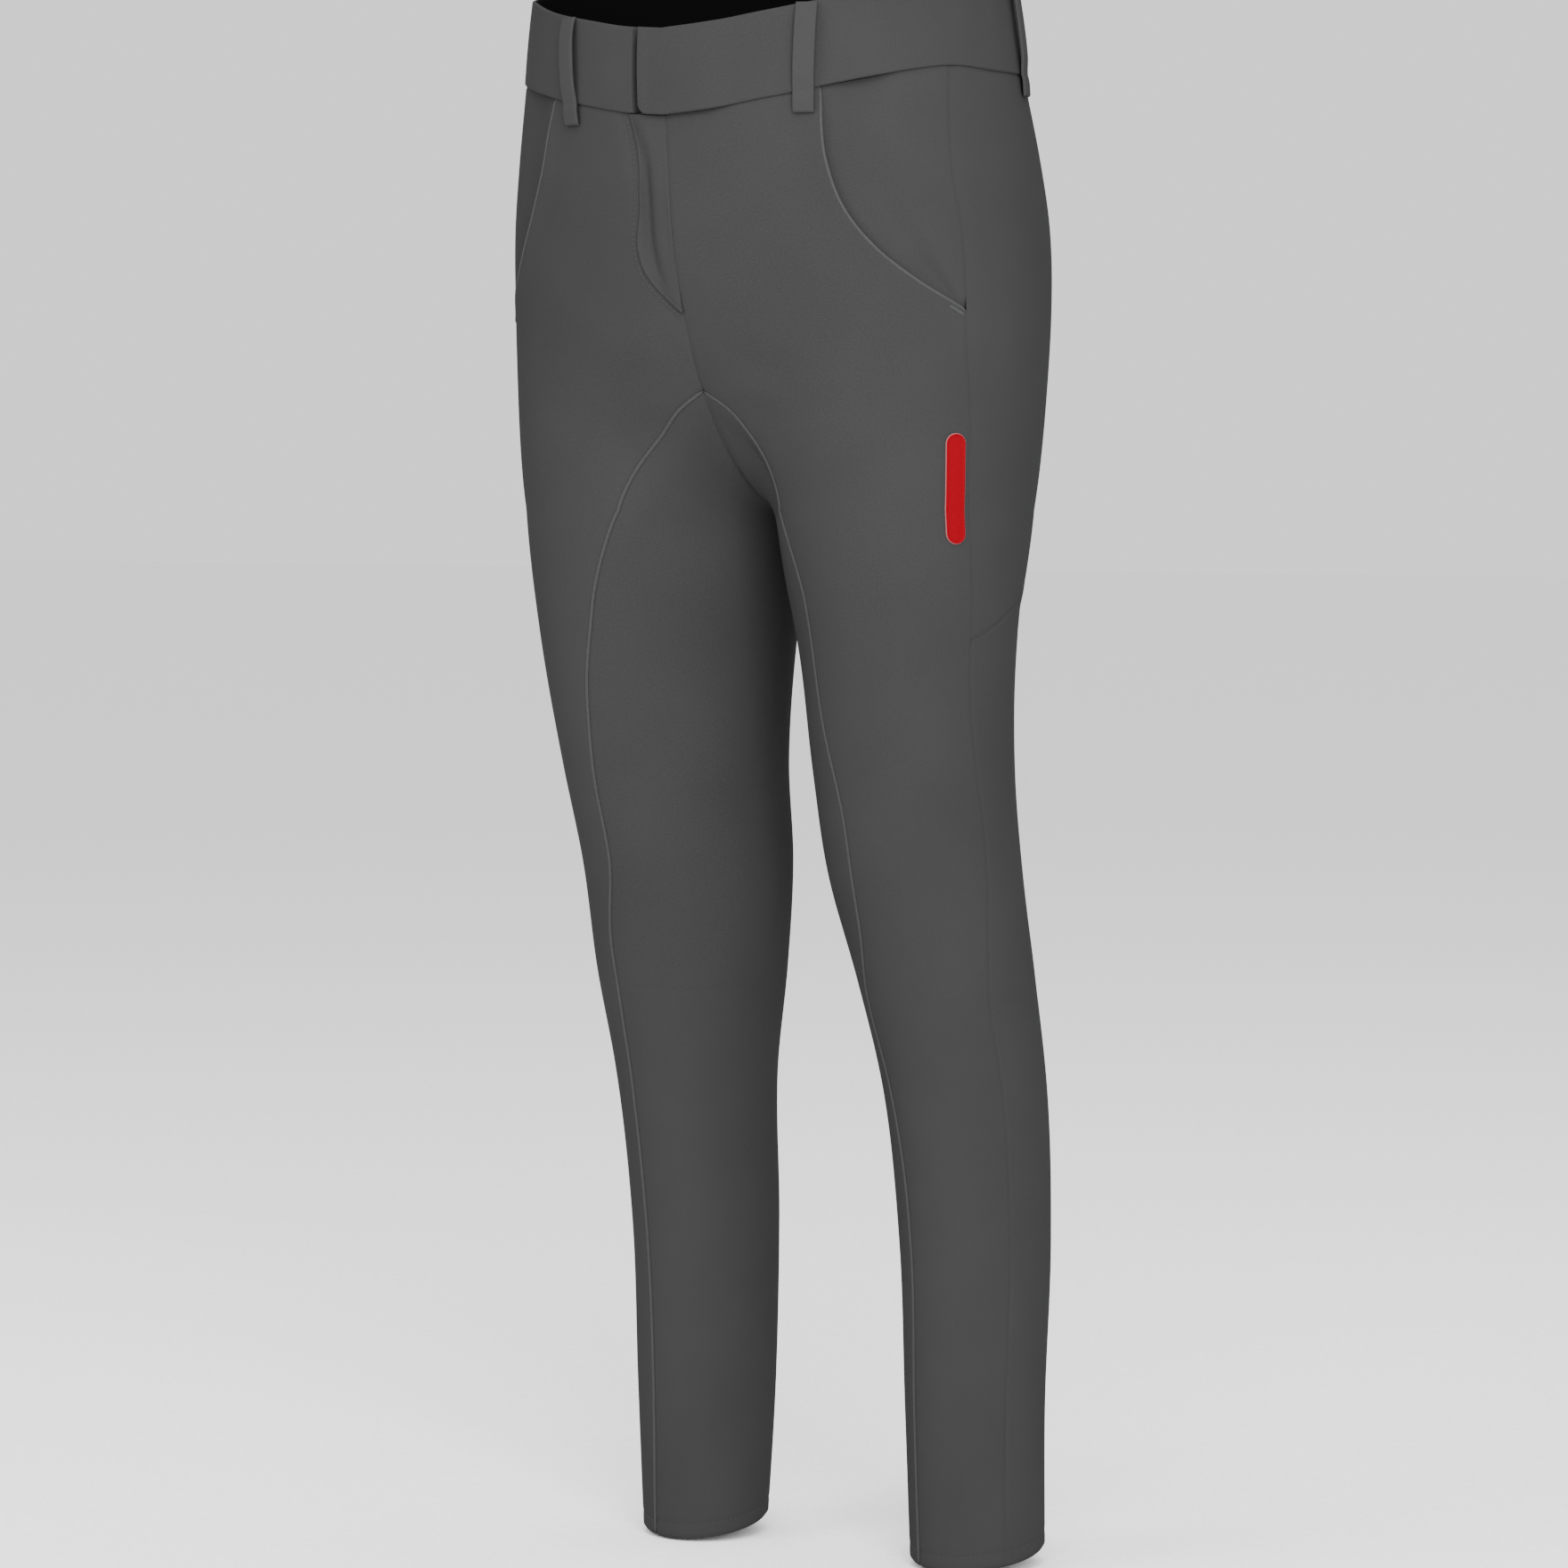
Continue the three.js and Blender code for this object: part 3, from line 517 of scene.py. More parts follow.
def knit_group():
    """Fine ribs of a knit: a product of two sines of the cloth coordinates, with noise. Gives tone and normal."""
    inputs = [("Vector", "Cloth", None), ("Float", "Pitch", 0.0007), ("Float", "Relief", 0.00005)]
    group, given, result = new_group("Knit", inputs, [("Float", "Tone"), ("Vector", "Normal")])
    split = group.nodes.new("ShaderNodeSeparateXYZ")
    group.links.new(given.outputs["Cloth"], split.inputs[0])
    waves = []
    for axis, stretch in (("X", 1.0), ("Y", 0.75)):
        turns = math_node(group, "DIVIDE", split.outputs[axis], given.outputs["Pitch"])
        waves.append(math_node(group, "SINE", math_node(group, "MULTIPLY", turns, 2 * math.pi * stretch)))
    product = math_node(group, "MULTIPLY", waves[0], waves[1])
    fluff = noise_node(group, given.outputs["Cloth"], 900.0)
    broad = noise_node(group, given.outputs["Cloth"], 14.0)
    height = math_node(group, "ADD", math_node(group, "MULTIPLY", product, 0.5), fluff)
    bump = group.nodes.new("ShaderNodeBump")
    bump.inputs["Strength"].default_value = 1.0
    group.links.new(given.outputs["Relief"], bump.inputs["Distance"])
    group.links.new(height, bump.inputs["Height"])
    group.links.new(bump.outputs[0], result.inputs["Normal"])
    fine_tone = math_node(group, "MULTIPLY", fluff, 0.25)
    broad_tone = math_node(group, "MULTIPLY", broad, 0.2)
    tone = math_node(group, "ADD", fine_tone, broad_tone)
    group.links.new(math_node(group, "ADD", tone, 0.775), result.inputs["Tone"])
    return group


KNIT = knit_group()


def new_material(name, roughness, specular):
    """A node material of this roughness and specular level, with its node tree and its shader."""
    material = bpy.data.materials.new(name)
    material.use_nodes = True
    shader = material.node_tree.nodes["Principled BSDF"]
    shader.inputs["Roughness"].default_value = roughness
    shader.inputs["Specular IOR Level"].default_value = specular
    return material, material.node_tree, shader


def tint_node(tree, colour, tone):
    """The colour multiplied by a tone that changes over the piece."""
    tint = tree.nodes.new("ShaderNodeVectorMath")
    tint.operation = "SCALE"
    tint.inputs[0].default_value = colour
    tree.links.new(tone, tint.inputs["Scale"])
    return tint.outputs[0]


def cloth_material(name, colour, pitch=0.0007, relief_height=0.00005):
    """Matt knitted cloth without shine, on the piece's own cloth coordinates."""
    material, tree, shader = new_material(name, 0.95, 0.02)
    place = tree.nodes.new("ShaderNodeUVMap")
    place.uv_map = "cloth"
    knit = tree.nodes.new("ShaderNodeGroup")
    knit.node_tree = KNIT
    knit.inputs["Pitch"].default_value = pitch
    knit.inputs["Relief"].default_value = relief_height
    tree.links.new(place.outputs[0], knit.inputs["Cloth"])
    tree.links.new(tint_node(tree, colour, knit.outputs["Tone"]), shader.inputs["Base Color"])
    tree.links.new(knit.outputs["Normal"], shader.inputs["Normal"])
    return material


def plain_material(name, colour, roughness):
    """A plain finish whose tone changes a little over the piece."""
    material, tree, shader = new_material(name, roughness, 0.1)
    place = tree.nodes.new("ShaderNodeTexCoord")
    grain = noise_node(tree, place.outputs["Object"], 400.0)
    tone = math_node(tree, "MULTIPLY_ADD", grain, 0.3, 0.85)
    tree.links.new(tint_node(tree, colour, tone), shader.inputs["Base Color"])
    return material


JERSEY = cloth_material("jersey", (0.0242, 0.0242, 0.0246))
BAND_JERSEY = cloth_material("band_jersey", (0.0242, 0.0242, 0.0246))
# The loops' jersey is the band's cloth painted lighter: painted light for loops that stand off the band towards the
# lamps.
LOOP_JERSEY_PAINTED_LIGHT = cloth_material("loop_jersey_painted_light", (0.0275, 0.0275, 0.0279))
GRIP_CLOTH = cloth_material("grip_cloth", (0.0238, 0.0238, 0.0242), pitch=0.0011)
# The reverse face of every cloth is the same jersey painted nearly black: painted shade for the inside of the
# garment.
REVERSE_PAINTED_SHADE = cloth_material("reverse", (0.002, 0.002, 0.002))
THREAD = plain_material("thread", (0.03, 0.03, 0.0305), 0.7)
# The piping is the dark cloth painted a little lighter: a painted highlight along its raised line.
PIPING_PAINTED_HIGHLIGHT = plain_material("piping", (0.0285, 0.0285, 0.029), 0.8)
# The pocket's piping and bar-tack are a still lighter copy of the piping: a stronger painted highlight along the
# pocket's edge.
EDGE_PIPING_PAINTED_HIGHLIGHT = plain_material("edge_piping_painted_highlight", (0.032, 0.032, 0.0325), 0.8)
print("materials:", len(bpy.data.materials))

# %% [markdown]
# The fronts. Their upper edge is the waistband seam and then the pocket's edge. A blend of the four edges fills the
# belly, and level rows between the two long seams fill the thigh and the shin. One blend for all of it would fold
# over where the patch's edge turns down the leg.

# %% Fronts
TOP_COLUMNS = 26
POCKET_COLUMNS = 44
SHIN_ROWS = 78
FRONT_TOP_ROWS = 44
FRONT_THIGH_ROWS = 100
CORNER_PART = 0.3


def blend_edges(top, bottom, left, right, parts):
    """Rounds and heights of a grid: the sum of the two straight blends less the blend of the four corners.
    Each edge is an array of (round, z), and parts are the places across of the top and the bottom."""
    down = np.linspace(0, 1, len(left))[:, None, None]
    across = parts[None, :, None]
    upright = mix(top[None], bottom[None], down)
    level = mix(left[:, None], right[:, None], across)
    corners = mix(mix(top[0], top[-1], across), mix(bottom[0], bottom[-1], across), down)
    return upright + level - corners


def places(round_, z):
    """Pairs (round, z) from arrays or numbers."""
    return np.stack(np.broadcast_arrays(np.asarray(round_, float), np.asarray(z, float)), -1)


def straight(from_, to, parts):
    """Places straight from one place to another."""
    return mix(np.asarray(from_)[None], np.asarray(to)[None], np.asarray(parts)[:, None])


def shin_rows(side, inner_round, outer_round, parts_across, parts_down):
    """Grid from the knee seam to the hem. The two functions give the seams' rounds at a height."""
    hem = {0: inner_round(side, HEM_MIDDLE_Z), 1: outer_round(side, HEM_MIDDLE_Z)}
    low, high = (inner_round(side, mix(KNEE_SEAM_Z, hem_z(hem[0]), parts_down)),
                 outer_round(side, mix(KNEE_SEAM_Z, hem_z(hem[1]), parts_down)))
    rounds = mix(low[:, None], high[:, None], parts_across[None])
    return places(rounds, mix(KNEE_SEAM_Z, hem_z(rounds), parts_down[:, None]))


def hem_faces(round_, z):
    """Drop of the outer face and height of the inner one near the hem, which is turned up and stitched."""
    over_hem = z - hem_z(round_)
    stitched = HEM_STITCH_DEPTH * np.exp(-(((over_hem - HEM_STITCH_HEIGHT) / 1.3) ** 2))
    out = -round_edge(over_hem, 1.2) - stitched
    back = -CLOTH - HEM_FOLD_EXTRA * (1 - smooth_step(over_hem, HEM_FOLD_HEIGHT, HEM_FOLD_HEIGHT + 4))
    return out, back


def edge_distance(side, grid, edge):
    """Distance of each point of a grid from its own row's or column's point on the edge named."""
    points = skin(side, grid[..., 0], grid[..., 1])
    base = {"top": points[:1], "bottom": points[-1:], "left": points[:, :1], "right": points[:, -1:]}[edge]
    return np.linalg.norm(points - base, axis=-1)


def make_front(word, side):
    """A blend of four edges over the belly, then rows between the patch's seam and the side seam."""
    band_parts = CORNER_PART * spread(TOP_COLUMNS)
    pocket_parts = mix(CORNER_PART, 1, spread(POCKET_COLUMNS, 0.7))
    parts = np.concatenate([band_parts[:-1], pocket_parts])
    band_round = pocket_edge(side, 0)[0] * band_parts[:-1] / CORNER_PART
    on_pocket = (pocket_parts - CORNER_PART) / (1 - CORNER_PART)
    top = np.concatenate([places(band_round, band_seam(band_round)), places(*pocket_edge(side, on_pocket))])
    down = spread(FRONT_TOP_ROWS, 0.7)
    left = places(0, mix(float(band_seam(0)), PATCH_FRONT_TOP_Z, down))
    right_z = mix(POCKET_END_Z, PATCH_FRONT_TOP_Z, down)
    right = places(side_seam(side, right_z), right_z)
    belly = blend_edges(top, straight(left[-1], right[-1], parts), left, right, parts)
    thigh_z = mix(PATCH_FRONT_TOP_Z, KNEE_SEAM_Z, spread(FRONT_THIGH_ROWS, 0.5))[1:]
    thigh_round = mix(front_edge(side, thigh_z)[:, None], side_seam(side, thigh_z)[:, None], parts[None])
    shin = shin_rows(side, front_edge, side_seam, parts, spread(SHIN_ROWS, 0.6))
    grid = np.concatenate([belly, places(thigh_round, thigh_z[:, None]), shin[1:]])
    round_, z = grid[..., 0], grid[..., 1]
    hem_out, back = hem_faces(round_, z)
    pocket_distance, pocket_part = nearest(skin(side, round_, z), SEAM_LINES[side]["pocket"])
    standing = pocket_rise(pocket_part) * np.exp(-((pocket_distance / POCKET_ROLL_REACH) ** 2))
    roll = standing - round_edge(pocket_distance, 0.9)
    under_flap = curve(FLY_EDGE, 1, z) - 0.004 - round_ if side < 0 else 0 * z - 1
    sunk_under = UNDER_FLAP_SINK * smooth_step(under_flap, 0, 0.005) * smooth_step(z, FLY_END_Z, -170)
    sunk = fly_sink(side, round_, z) + sunk_under
    grids = [cloth_grid(side, round_, z, hem_out + roll - sunk, back - sunk)]
    made, area = wall("front_" + word, side, grids, JERSEY)
    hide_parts("front_" + word)
    return made, area


areas = {}
cloth = {}
for word, side in HALVES.items():
    cloth["front_" + word], areas["front_" + word] = make_front(word, side)
print("front area, m2:", round(areas["front_left"], 4))

# %% [markdown]
# Behind each slanted pocket opening lies a piece of the same cloth, sewn in at the waistband and the side seam. It
# is a little hollow beside the opening, so that the front's edge stands off it with a soft shadow.

# %% Pocket pieces


def straight_rows(from_, to, count):
    """Grid of places straight between two edges."""
    return mix(from_[:, None], to[:, None], steps(0, 1, count)[None, :, None])


def make_pocket(word, side):
    """Rows from a line hidden under the front, over the pocket's edge, straight to the side seam."""
    part = steps(0, 1, 60)
    edge = places(*pocket_edge(side, part))
    seam_z = mix(SIDE_TOP_Z, POCKET_END_Z, part)
    seam = places(side_seam(side, seam_z), seam_z)
    scale = mm_per_round(side, edge[:, 0], edge[:, 1])
    run = np.gradient(edge, axis=0)
    run = unit(np.stack([run[:, 0] * scale, run[:, 1]], -1))
    away = np.stack([run[:, 1], -run[:, 0]], -1)
    away[0] = (-1, 0)
    hidden = edge + POCKET_UNDER_FRONT * away / np.stack([scale, 0 * scale + 1], -1)
    across = spread(40, 0.7)
    visible = mix(edge[:, None], seam[:, None], across[None, :, None])
    grid = np.concatenate([straight_rows(hidden, edge, 5)[:, :-1], visible], axis=1)
    grid[0, :, 1] = band_seam(grid[0, :, 0])
    sunk_at_seam = POCKET_SUNK * smooth_step(-seam_z, 166, 176)[:, None]
    beside_edge = np.sin(np.pi * np.clip(across / 0.6, 0, 1)) ** 2
    above_end = 1 - smooth_step(part, 0.75, 0.98)
    hollow = POCKET_HOLLOW * beside_edge * above_end[:, None]
    depth = mix(POCKET_CLOTH_SUNK, sunk_at_seam, smooth_step(across, 0.15, 0.95)[None]) + hollow
    depth = np.concatenate([np.full((len(part), 5), POCKET_CLOTH_SUNK), depth], axis=1)
    points = cloth_grid(side, grid[..., 0], grid[..., 1], -depth, -depth - CLOTH)
    made, area = wall("pocket_" + word, side, [points], JERSEY)
    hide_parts("pocket_" + word)
    return made, area


for word, side in HALVES.items():
    cloth["pocket_" + word], areas["pocket_" + word] = make_pocket(word, side)
print("pocket piece area, m2:", round(areas["pocket_left"], 4))

# %% [markdown]
# The upper seat, the large patch that grips the saddle, and the back of the lower leg. Each panel ends on the seams
# of its neighbours, so its grid is fitted between the same seam lines. The patch is two grids that share the inside
# of the leg. Their points are softened near the crotch, where cloth bridges the hollow between hip and leg.

# %% Backs, patches and calves
BACK_COLUMNS = 76
BACK_ROWS = 70
PATCH_ROWS = 100
PATCH_FRONT_COLUMNS = 40
PATCH_BACK_COLUMNS = 60
CROTCH_SOFT_REACH = 34
CALF_BACK_SHARE = 0.65


def make_back(word, side):
    """A blend of the band seam, the side seam, the patch's curved edge and the centre back."""
    bottom_z = mix(SEAT_SIDE_Z, PATCH_BACK_TOP_Z, spread(BACK_COLUMNS, 0.3))
    bottom = places(seat_edge(side, bottom_z), bottom_z)
    bottom[0] = (side_seam(side, SEAT_SIDE_Z), SEAT_SIDE_Z)
    parts = (bottom[:, 0] - bottom[0, 0]) / (1 - bottom[0, 0])
    top_round = mix(SIDE_TOP_ROUND, 1, parts)
    top = places(top_round, band_seam(top_round))
    down = spread(BACK_ROWS, 0.7)
    left_z = mix(SIDE_TOP_Z, SEAT_SIDE_Z, down)
    left = places(side_seam(side, left_z), left_z)
    left[0] = top[0]
    right = places(1, mix(float(band_seam(1)), PATCH_BACK_TOP_Z, down))
    grid = blend_edges(top, bottom, left, right, parts)
    made, area = wall("back_" + word, side, [cloth_grid(side, grid[..., 0], grid[..., 1])], JERSEY)
    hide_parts("back_" + word)
    return made, area


def make_seat_patch(word, side):
    """Rows from the inside of the leg to the front seam, and from the back seam to the inside of the leg."""
    thigh_z = mix(CROTCH_Z, KNEE_SEAM_Z, spread(PATCH_ROWS, 0.5))
    front_z = np.concatenate([mix(PATCH_FRONT_TOP_Z, CROTCH_Z, spread(24, 0.5))[:-1], thigh_z])
    back_z = np.concatenate([mix(PATCH_BACK_TOP_Z, CROTCH_Z, spread(44, 0.5))[:-1], thigh_z])
    across_front = spread(PATCH_FRONT_COLUMNS, 0.7)
    across_back = spread(PATCH_BACK_COLUMNS, 0.7)
    front_round = front_edge(side, front_z)[:, None] * across_front[None]
    outside = np.where(back_z > SEAT_SIDE_Z, seat_edge(side, back_z), side_seam(side, back_z))
    back_round = mix(outside[:, None], 1, across_back[None])
    two_parts = [
        (front_round, front_z[:, None], front_round[:, -1:]),
        (back_round, back_z[:, None], back_round[:, :1]),
    ]
    grids = []
    for round_, z, seam_round in two_parts:
        outer, inner, uv = cloth_grid(side, round_, z + 0 * round_)
        off_middle = smooth_step(np.abs(np.sin(np.pi * round_)), 0.04, 0.2)
        off_edge = smooth_step(np.abs(round_ - seam_round), 0.02, 0.06)
        at_crotch = np.exp(-(((z - CROTCH_Z) / CROTCH_SOFT_REACH) ** 2))
        weight = off_middle * off_edge * at_crotch
        grids.append((soften(outer, weight), soften(inner, weight), uv))
    made, area = wall("seat_patch_" + word, side, grids, GRIP_CLOTH)
    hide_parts("seat_patch_" + word)
    return made, area


def side_seam_from_inside(side, z):
    """Round of the side seam, counted back from the inside of the leg."""
    return side_seam(side, z) - 1


def make_calf(word, side):
    """Rows from the side seam round the back of the leg to the front seam."""
    behind = spread(PATCH_BACK_COLUMNS, 0.6)[:-1] * CALF_BACK_SHARE
    inside = CALF_BACK_SHARE + (1 - CALF_BACK_SHARE) * spread(PATCH_FRONT_COLUMNS, 0.6)
    across = np.concatenate([behind, inside])
    grid = shin_rows(side, side_seam_from_inside, front_edge, across, spread(SHIN_ROWS, 0.6))
    round_, z = grid[..., 0], grid[..., 1]
    made, area = wall("calf_" + word, side, [cloth_grid(side, round_, z, *hem_faces(round_, z))], JERSEY)
    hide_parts("calf_" + word)
    return made, area


for word, side in HALVES.items():
    for part_name, maker in (("back_", make_back), ("seat_patch_", make_seat_patch), ("calf_", make_calf)):
        cloth[part_name + word], areas[part_name + word] = maker(word, side)
print("areas, m2:", {name: round(area, 3) for name, area in areas.items() if name.endswith("left")})

# %% [markdown]
# The waistband is a doubled strip that stands a little out of the skin. Its left end laps over the right one at the
# middle, with one round corner. Its edges are rolled by a formula and not by a bevel, so that the lap can lift the
# whole strip off the one under it.

# %% Waistband
LAP_PAST_MIDDLE = 16
UNDERLAP_PAST_MIDDLE = 18
LAP_RISE_END_ROUND = 0.05
LAP_FLAT_END_ROUND = 0.095
LAP_CORNER_RADIUS = 6
LAP_END_RISE = 0.9
UNDERLAP_GROOVE_PAST_LAP = 3.6
UNDERLAP_GROOVE_DEPTH = 5.5
UNDERLAP_GROOVE_HALF_WIDTH = 2.5
BAND_WAVE = 0.35
ROUND_PER_MM = 1 / (math.pi * float(curve(HIP_SECTIONS, 1, -10)))


def band_raise(side, round_):
    """How far the lap over the other half lifts this one off the skin."""
    full = BAND_OUT + BAND_IN + LAYER_GAP if side > 0 else 0
    return full * (1 - smooth_step(round_, LAP_RISE_END_ROUND, LAP_FLAT_END_ROUND))


def make_waistband(word, side):
    """Rows from the waist down to the band seam, which stand out with rolled edges and a shallow wave."""
    past = (LAP_PAST_MIDDLE if side > 0 else UNDERLAP_PAST_MIDDLE) * ROUND_PER_MM
    near = -past + steps(0, 0.11, 120)
    round_ = np.concatenate([near, steps(near[-1], 1, 200)[1:]])
    down = spread(22, 0.9)
    from_end = (round_ + past) / ROUND_PER_MM
    corner = np.clip(LAP_CORNER_RADIUS - from_end, 0, LAP_CORNER_RADIUS)
    corner_lift = LAP_CORNER_RADIUS - np.sqrt(LAP_CORNER_RADIUS**2 - corner**2) if side > 0 else 0 * round_
    top_z = curve(WAIST_TOP, 1, np.abs(round_))
    low_z = band_seam(round_) + corner_lift
    grid = places(round_[None], mix(top_z[None], low_z[None], down[:, None]))
    edge = np.minimum.reduce([edge_distance(side, grid, name) for name in ("top", "bottom", "left")])
    drop = round_edge(edge, 1.25)
    raised = band_raise(side, round_)[None]
    sag = BAND_WAVE * np.sin(grid[..., 0] * 71 + 1) * np.sin(grid[..., 0] * 23) * np.sin(np.pi * down)[:, None]
    if side < 0:
        groove_middle = (LAP_PAST_MIDDLE + UNDERLAP_GROOVE_PAST_LAP) * ROUND_PER_MM
        from_groove = (grid[..., 0] - groove_middle) / (UNDERLAP_GROOVE_HALF_WIDTH * ROUND_PER_MM)
        sag = sag - UNDERLAP_GROOVE_DEPTH * np.exp(-(from_groove**4))
    else:
        sag = sag + LAP_END_RISE * (1 - smooth_step(from_end, 1, 9))[None]
    out = BAND_OUT + raised - drop + sag
    back = raised - BAND_IN + drop + sag
    points = cloth_grid(side, grid[..., 0], grid[..., 1], out, back, with_relief=False)
    made, area = wall("waistband_" + word, side, [points], BAND_JERSEY)
    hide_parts("waistband_" + word)
    return made, area


for word, side in HALVES.items():
    cloth["waistband_" + word], areas["waistband_" + word] = make_waistband(word, side)
print("waistband area, m2:", round(areas["waistband_left"], 4))

# %% [markdown]
# Five narrow loops of folded cloth bridge the waistband. Each follows a path of heights and gaps: close at the top,
# off the band in the middle, and sewn down flat below the band seam.

# %% Belt loops
LOOP_HALF_WIDTH = 6.3
LOOP_THICKNESS = 1.8
LOOP_FOLD = 0.8
LOOP_PRESS = 0.35
# name, side, round at the top, round at the foot
LOOPS = [
    ("loop_front_left", 1, 0.188, 0.177), ("loop_front_right", -1, 0.16, 0.149), ("loop_back", 1, 1.0, 1.0),
    ("loop_side_left", 1, 0.577, 0.58), ("loop_side_right", -1, 0.577, 0.58),
]


def loop_path(round_top, round_foot):
    """Heights along a loop with the gaps between it and the skin, from the waist down to its sewn foot."""
    top_z = float(curve(WAIST_TOP, 1, round_top))
    seam_z = float(band_seam(round_foot))
    rows = [
        (0, top_z - 0.5, BAND_OUT + LAYER_GAP), (1, top_z - 4, 2.4), (2, top_z - 12, 3.7),
        (3, mix(top_z, seam_z, 0.5), 4), (4, seam_z + 12, 3.5), (5, seam_z + 2, 2), (6, seam_z - 5, 1.3),
        (7, seam_z - 13, 0.45),
    ]
    part = steps(0, 7, 60)
    return curve(rows, 1, part), curve(rows, 2, part), top_z, seam_z


def make_loop(name, side, round_top, round_foot):
    """Rows down the loop's path, as wide as the loop, with rolled edges and a folded, pressed foot."""
    z, off, top_z, seam_z = loop_path(round_top, round_foot)
    middle = mix(round_foot, round_top, (z - seam_z) / (top_z - seam_z))
    across = 2 * spread(14, 0.8) - 1
    scale = mm_per_round(side, middle, z)
    round_ = middle[:, None] + across[None] * LOOP_HALF_WIDTH / scale[:, None]
    grid = places(round_, z[:, None])
    edge = np.minimum.reduce([edge_distance(side, grid, k) for k in ("left", "right", "bottom")])
    drop = round_edge(edge, LOOP_THICKNESS / 2)
    folded = LOOP_FOLD * smooth_step(seam_z - z, 0.5, 3)[:, None]
    pressed = LOOP_PRESS * np.exp(-(((z - seam_z + 3) / 1.2) ** 2))[:, None]
    out = off[:, None] + LOOP_THICKNESS - drop + folded - pressed
    points = cloth_grid(side, grid[..., 0], grid[..., 1], out, off[:, None] + drop, with_relief=False)
    # The loops take the lighter copy of the jersey, as painted light.
    made, area = wall(name, side, [points], LOOP_JERSEY_PAINTED_LIGHT)
    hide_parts(name)
    return made, area


for name, side, round_top, round_foot in LOOPS:
    cloth[name], areas[name] = make_loop(name, side, round_top, round_foot)
print("loops:", len(LOOPS))

# %% [markdown]
# The flap over the zip lies on the right front, with a curved lower end and a row of stitches. It is a second layer
# on the skin that sinks at the centre line, where it is sewn in.

# %% Fly flap


def make_fly():
    """Rows from the centre line to the flap's edge, one layer of cloth above the front."""
    side = -1
    z = mix(FLY_TOP_Z, FLY_END_Z, spread(70, 0.5))
    edge_round = curve(FLY_EDGE, 1, z)
    across = spread(26, 0.75)
    round_ = edge_round[:, None] * across[None]
    lift = (band_seam(round_) - band_seam(0)) * np.exp(-((z[:, None] + 61) / 12) ** 2)
    grid = places(round_, z[:, None] + lift)
    points = skin(side, grid[..., 0], grid[..., 1])
    edge_line = skin(side, edge_round, z)
    distance, _ = nearest(points, edge_line)
    stitched = 0.3 * np.exp(-(((distance - FLY_STITCH_INSET) / 0.8) ** 2))
    sunk = fly_sink(side, grid[..., 0], grid[..., 1])
    out = LAYER_GAP + CLOTH - round_edge(distance, 1.2) - stitched - sunk
    flap = cloth_grid(side, grid[..., 0], grid[..., 1], out, LAYER_GAP - sunk)
    made, area = wall("fly_flap", side, [flap], JERSEY)
    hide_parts("fly_flap")
    return made, area


cloth["fly_flap"], areas["fly_flap"] = make_fly()
print("fly flap area, m2:", round(areas["fly_flap"], 5))

# %% [markdown]
# The label is bare but for a raised, pale rim. Its material reads the distance from the edge from its uv map.

# %% Label
BADGE_TOP = (0.386, -247)
BADGE_FOOT = (0.4104, -312)
BADGE_LENGTH = 65
BADGE_HALF_WIDTH = 6.2
BADGE_THICKNESS = 0.9
BADGE_RIM = 0.35
BADGE_RIM_COLOUR = (0.2, 0.1, 0.1, 1)
BADGE_RED = (0.15, 0.0001, 0.004, 1)


def badge_material():
    """Red moulded rubber with a pale rim where the first cloth coordinate, the distance from the edge, is small."""
    material, tree, shader = new_material("badge_rubber", 0.8, 0.02)
    place = tree.nodes.new("ShaderNodeUVMap")
    place.uv_map = "cloth"
    split = tree.nodes.new("ShaderNodeSeparateXYZ")
    tree.links.new(place.outputs[0], split.inputs[0])
    ramp = tree.nodes.new("ShaderNodeValToRGB")
    ramp.color_ramp.elements[0].position = 0.12
    ramp.color_ramp.elements[0].color = BADGE_RIM_COLOUR
    ramp.color_ramp.elements[1].position = 0.2
    ramp.color_ramp.elements[1].color = BADGE_RED
    tree.links.new(math_node(tree, "MULTIPLY", split.outputs["X"], 500.0), ramp.inputs[0])
    tree.links.new(ramp.outputs[0], shader.inputs["Base Color"])
    return material


def make_badge():
    """A strip with round ends: its half width is that of a circle near each end, and its rim follows the edge."""
    side = 1
    stop = BADGE_LENGTH * spread(90, 0.9)
    to_end = np.minimum(stop, BADGE_LENGTH - stop)
    inside = np.clip(BADGE_HALF_WIDTH - to_end, 0, BADGE_HALF_WIDTH)
    half = np.sqrt(np.maximum(BADGE_HALF_WIDTH**2 - inside**2, 0.02))
    across = 2 * spread(24, 0.8) - 1
    middle = straight(BADGE_TOP, BADGE_FOOT, stop / BADGE_LENGTH)
    scale = mm_per_round(side, middle[:, 0], middle[:, 1])
    flat_x = across[None] * half[:, None]
    grid = places(middle[:, :1] + flat_x / scale[:, None], middle[:, 1:])
    core = np.clip(stop, BADGE_HALF_WIDTH, BADGE_LENGTH - BADGE_HALF_WIDTH)
    from_edge = BADGE_HALF_WIDTH - np.hypot(flat_x, (stop - core)[:, None])
    rim = BADGE_RIM * smooth_step(-np.abs(from_edge - 0.9), -0.7, -0.25)
    out = LAYER_GAP + BADGE_THICKNESS + rim - round_edge(np.maximum(from_edge, 0), 0.5)
    points = cloth_grid(side, grid[..., 0], grid[..., 1], out, LAYER_GAP, with_relief=False)
    uv = np.stack([np.maximum(from_edge, 0), 0 * from_edge], -1)
    under_uv = uv + (BADGE_HALF_WIDTH, 0)
    made, area = wall("badge", side, [(points[0], points[1], uv, under_uv)], badge_material())
    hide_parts("badge")
    return made


badge = make_badge()
print("label made")

# %% [markdown]
# Piping marks the edge of the patch and of the pocket, and thread shows at the hem and the fly. Curves with a bevel
# could make both, but a line on the skin keeps them on the cloth. The piping is swept along its line, and all the
# stitches of a row are one mesh.

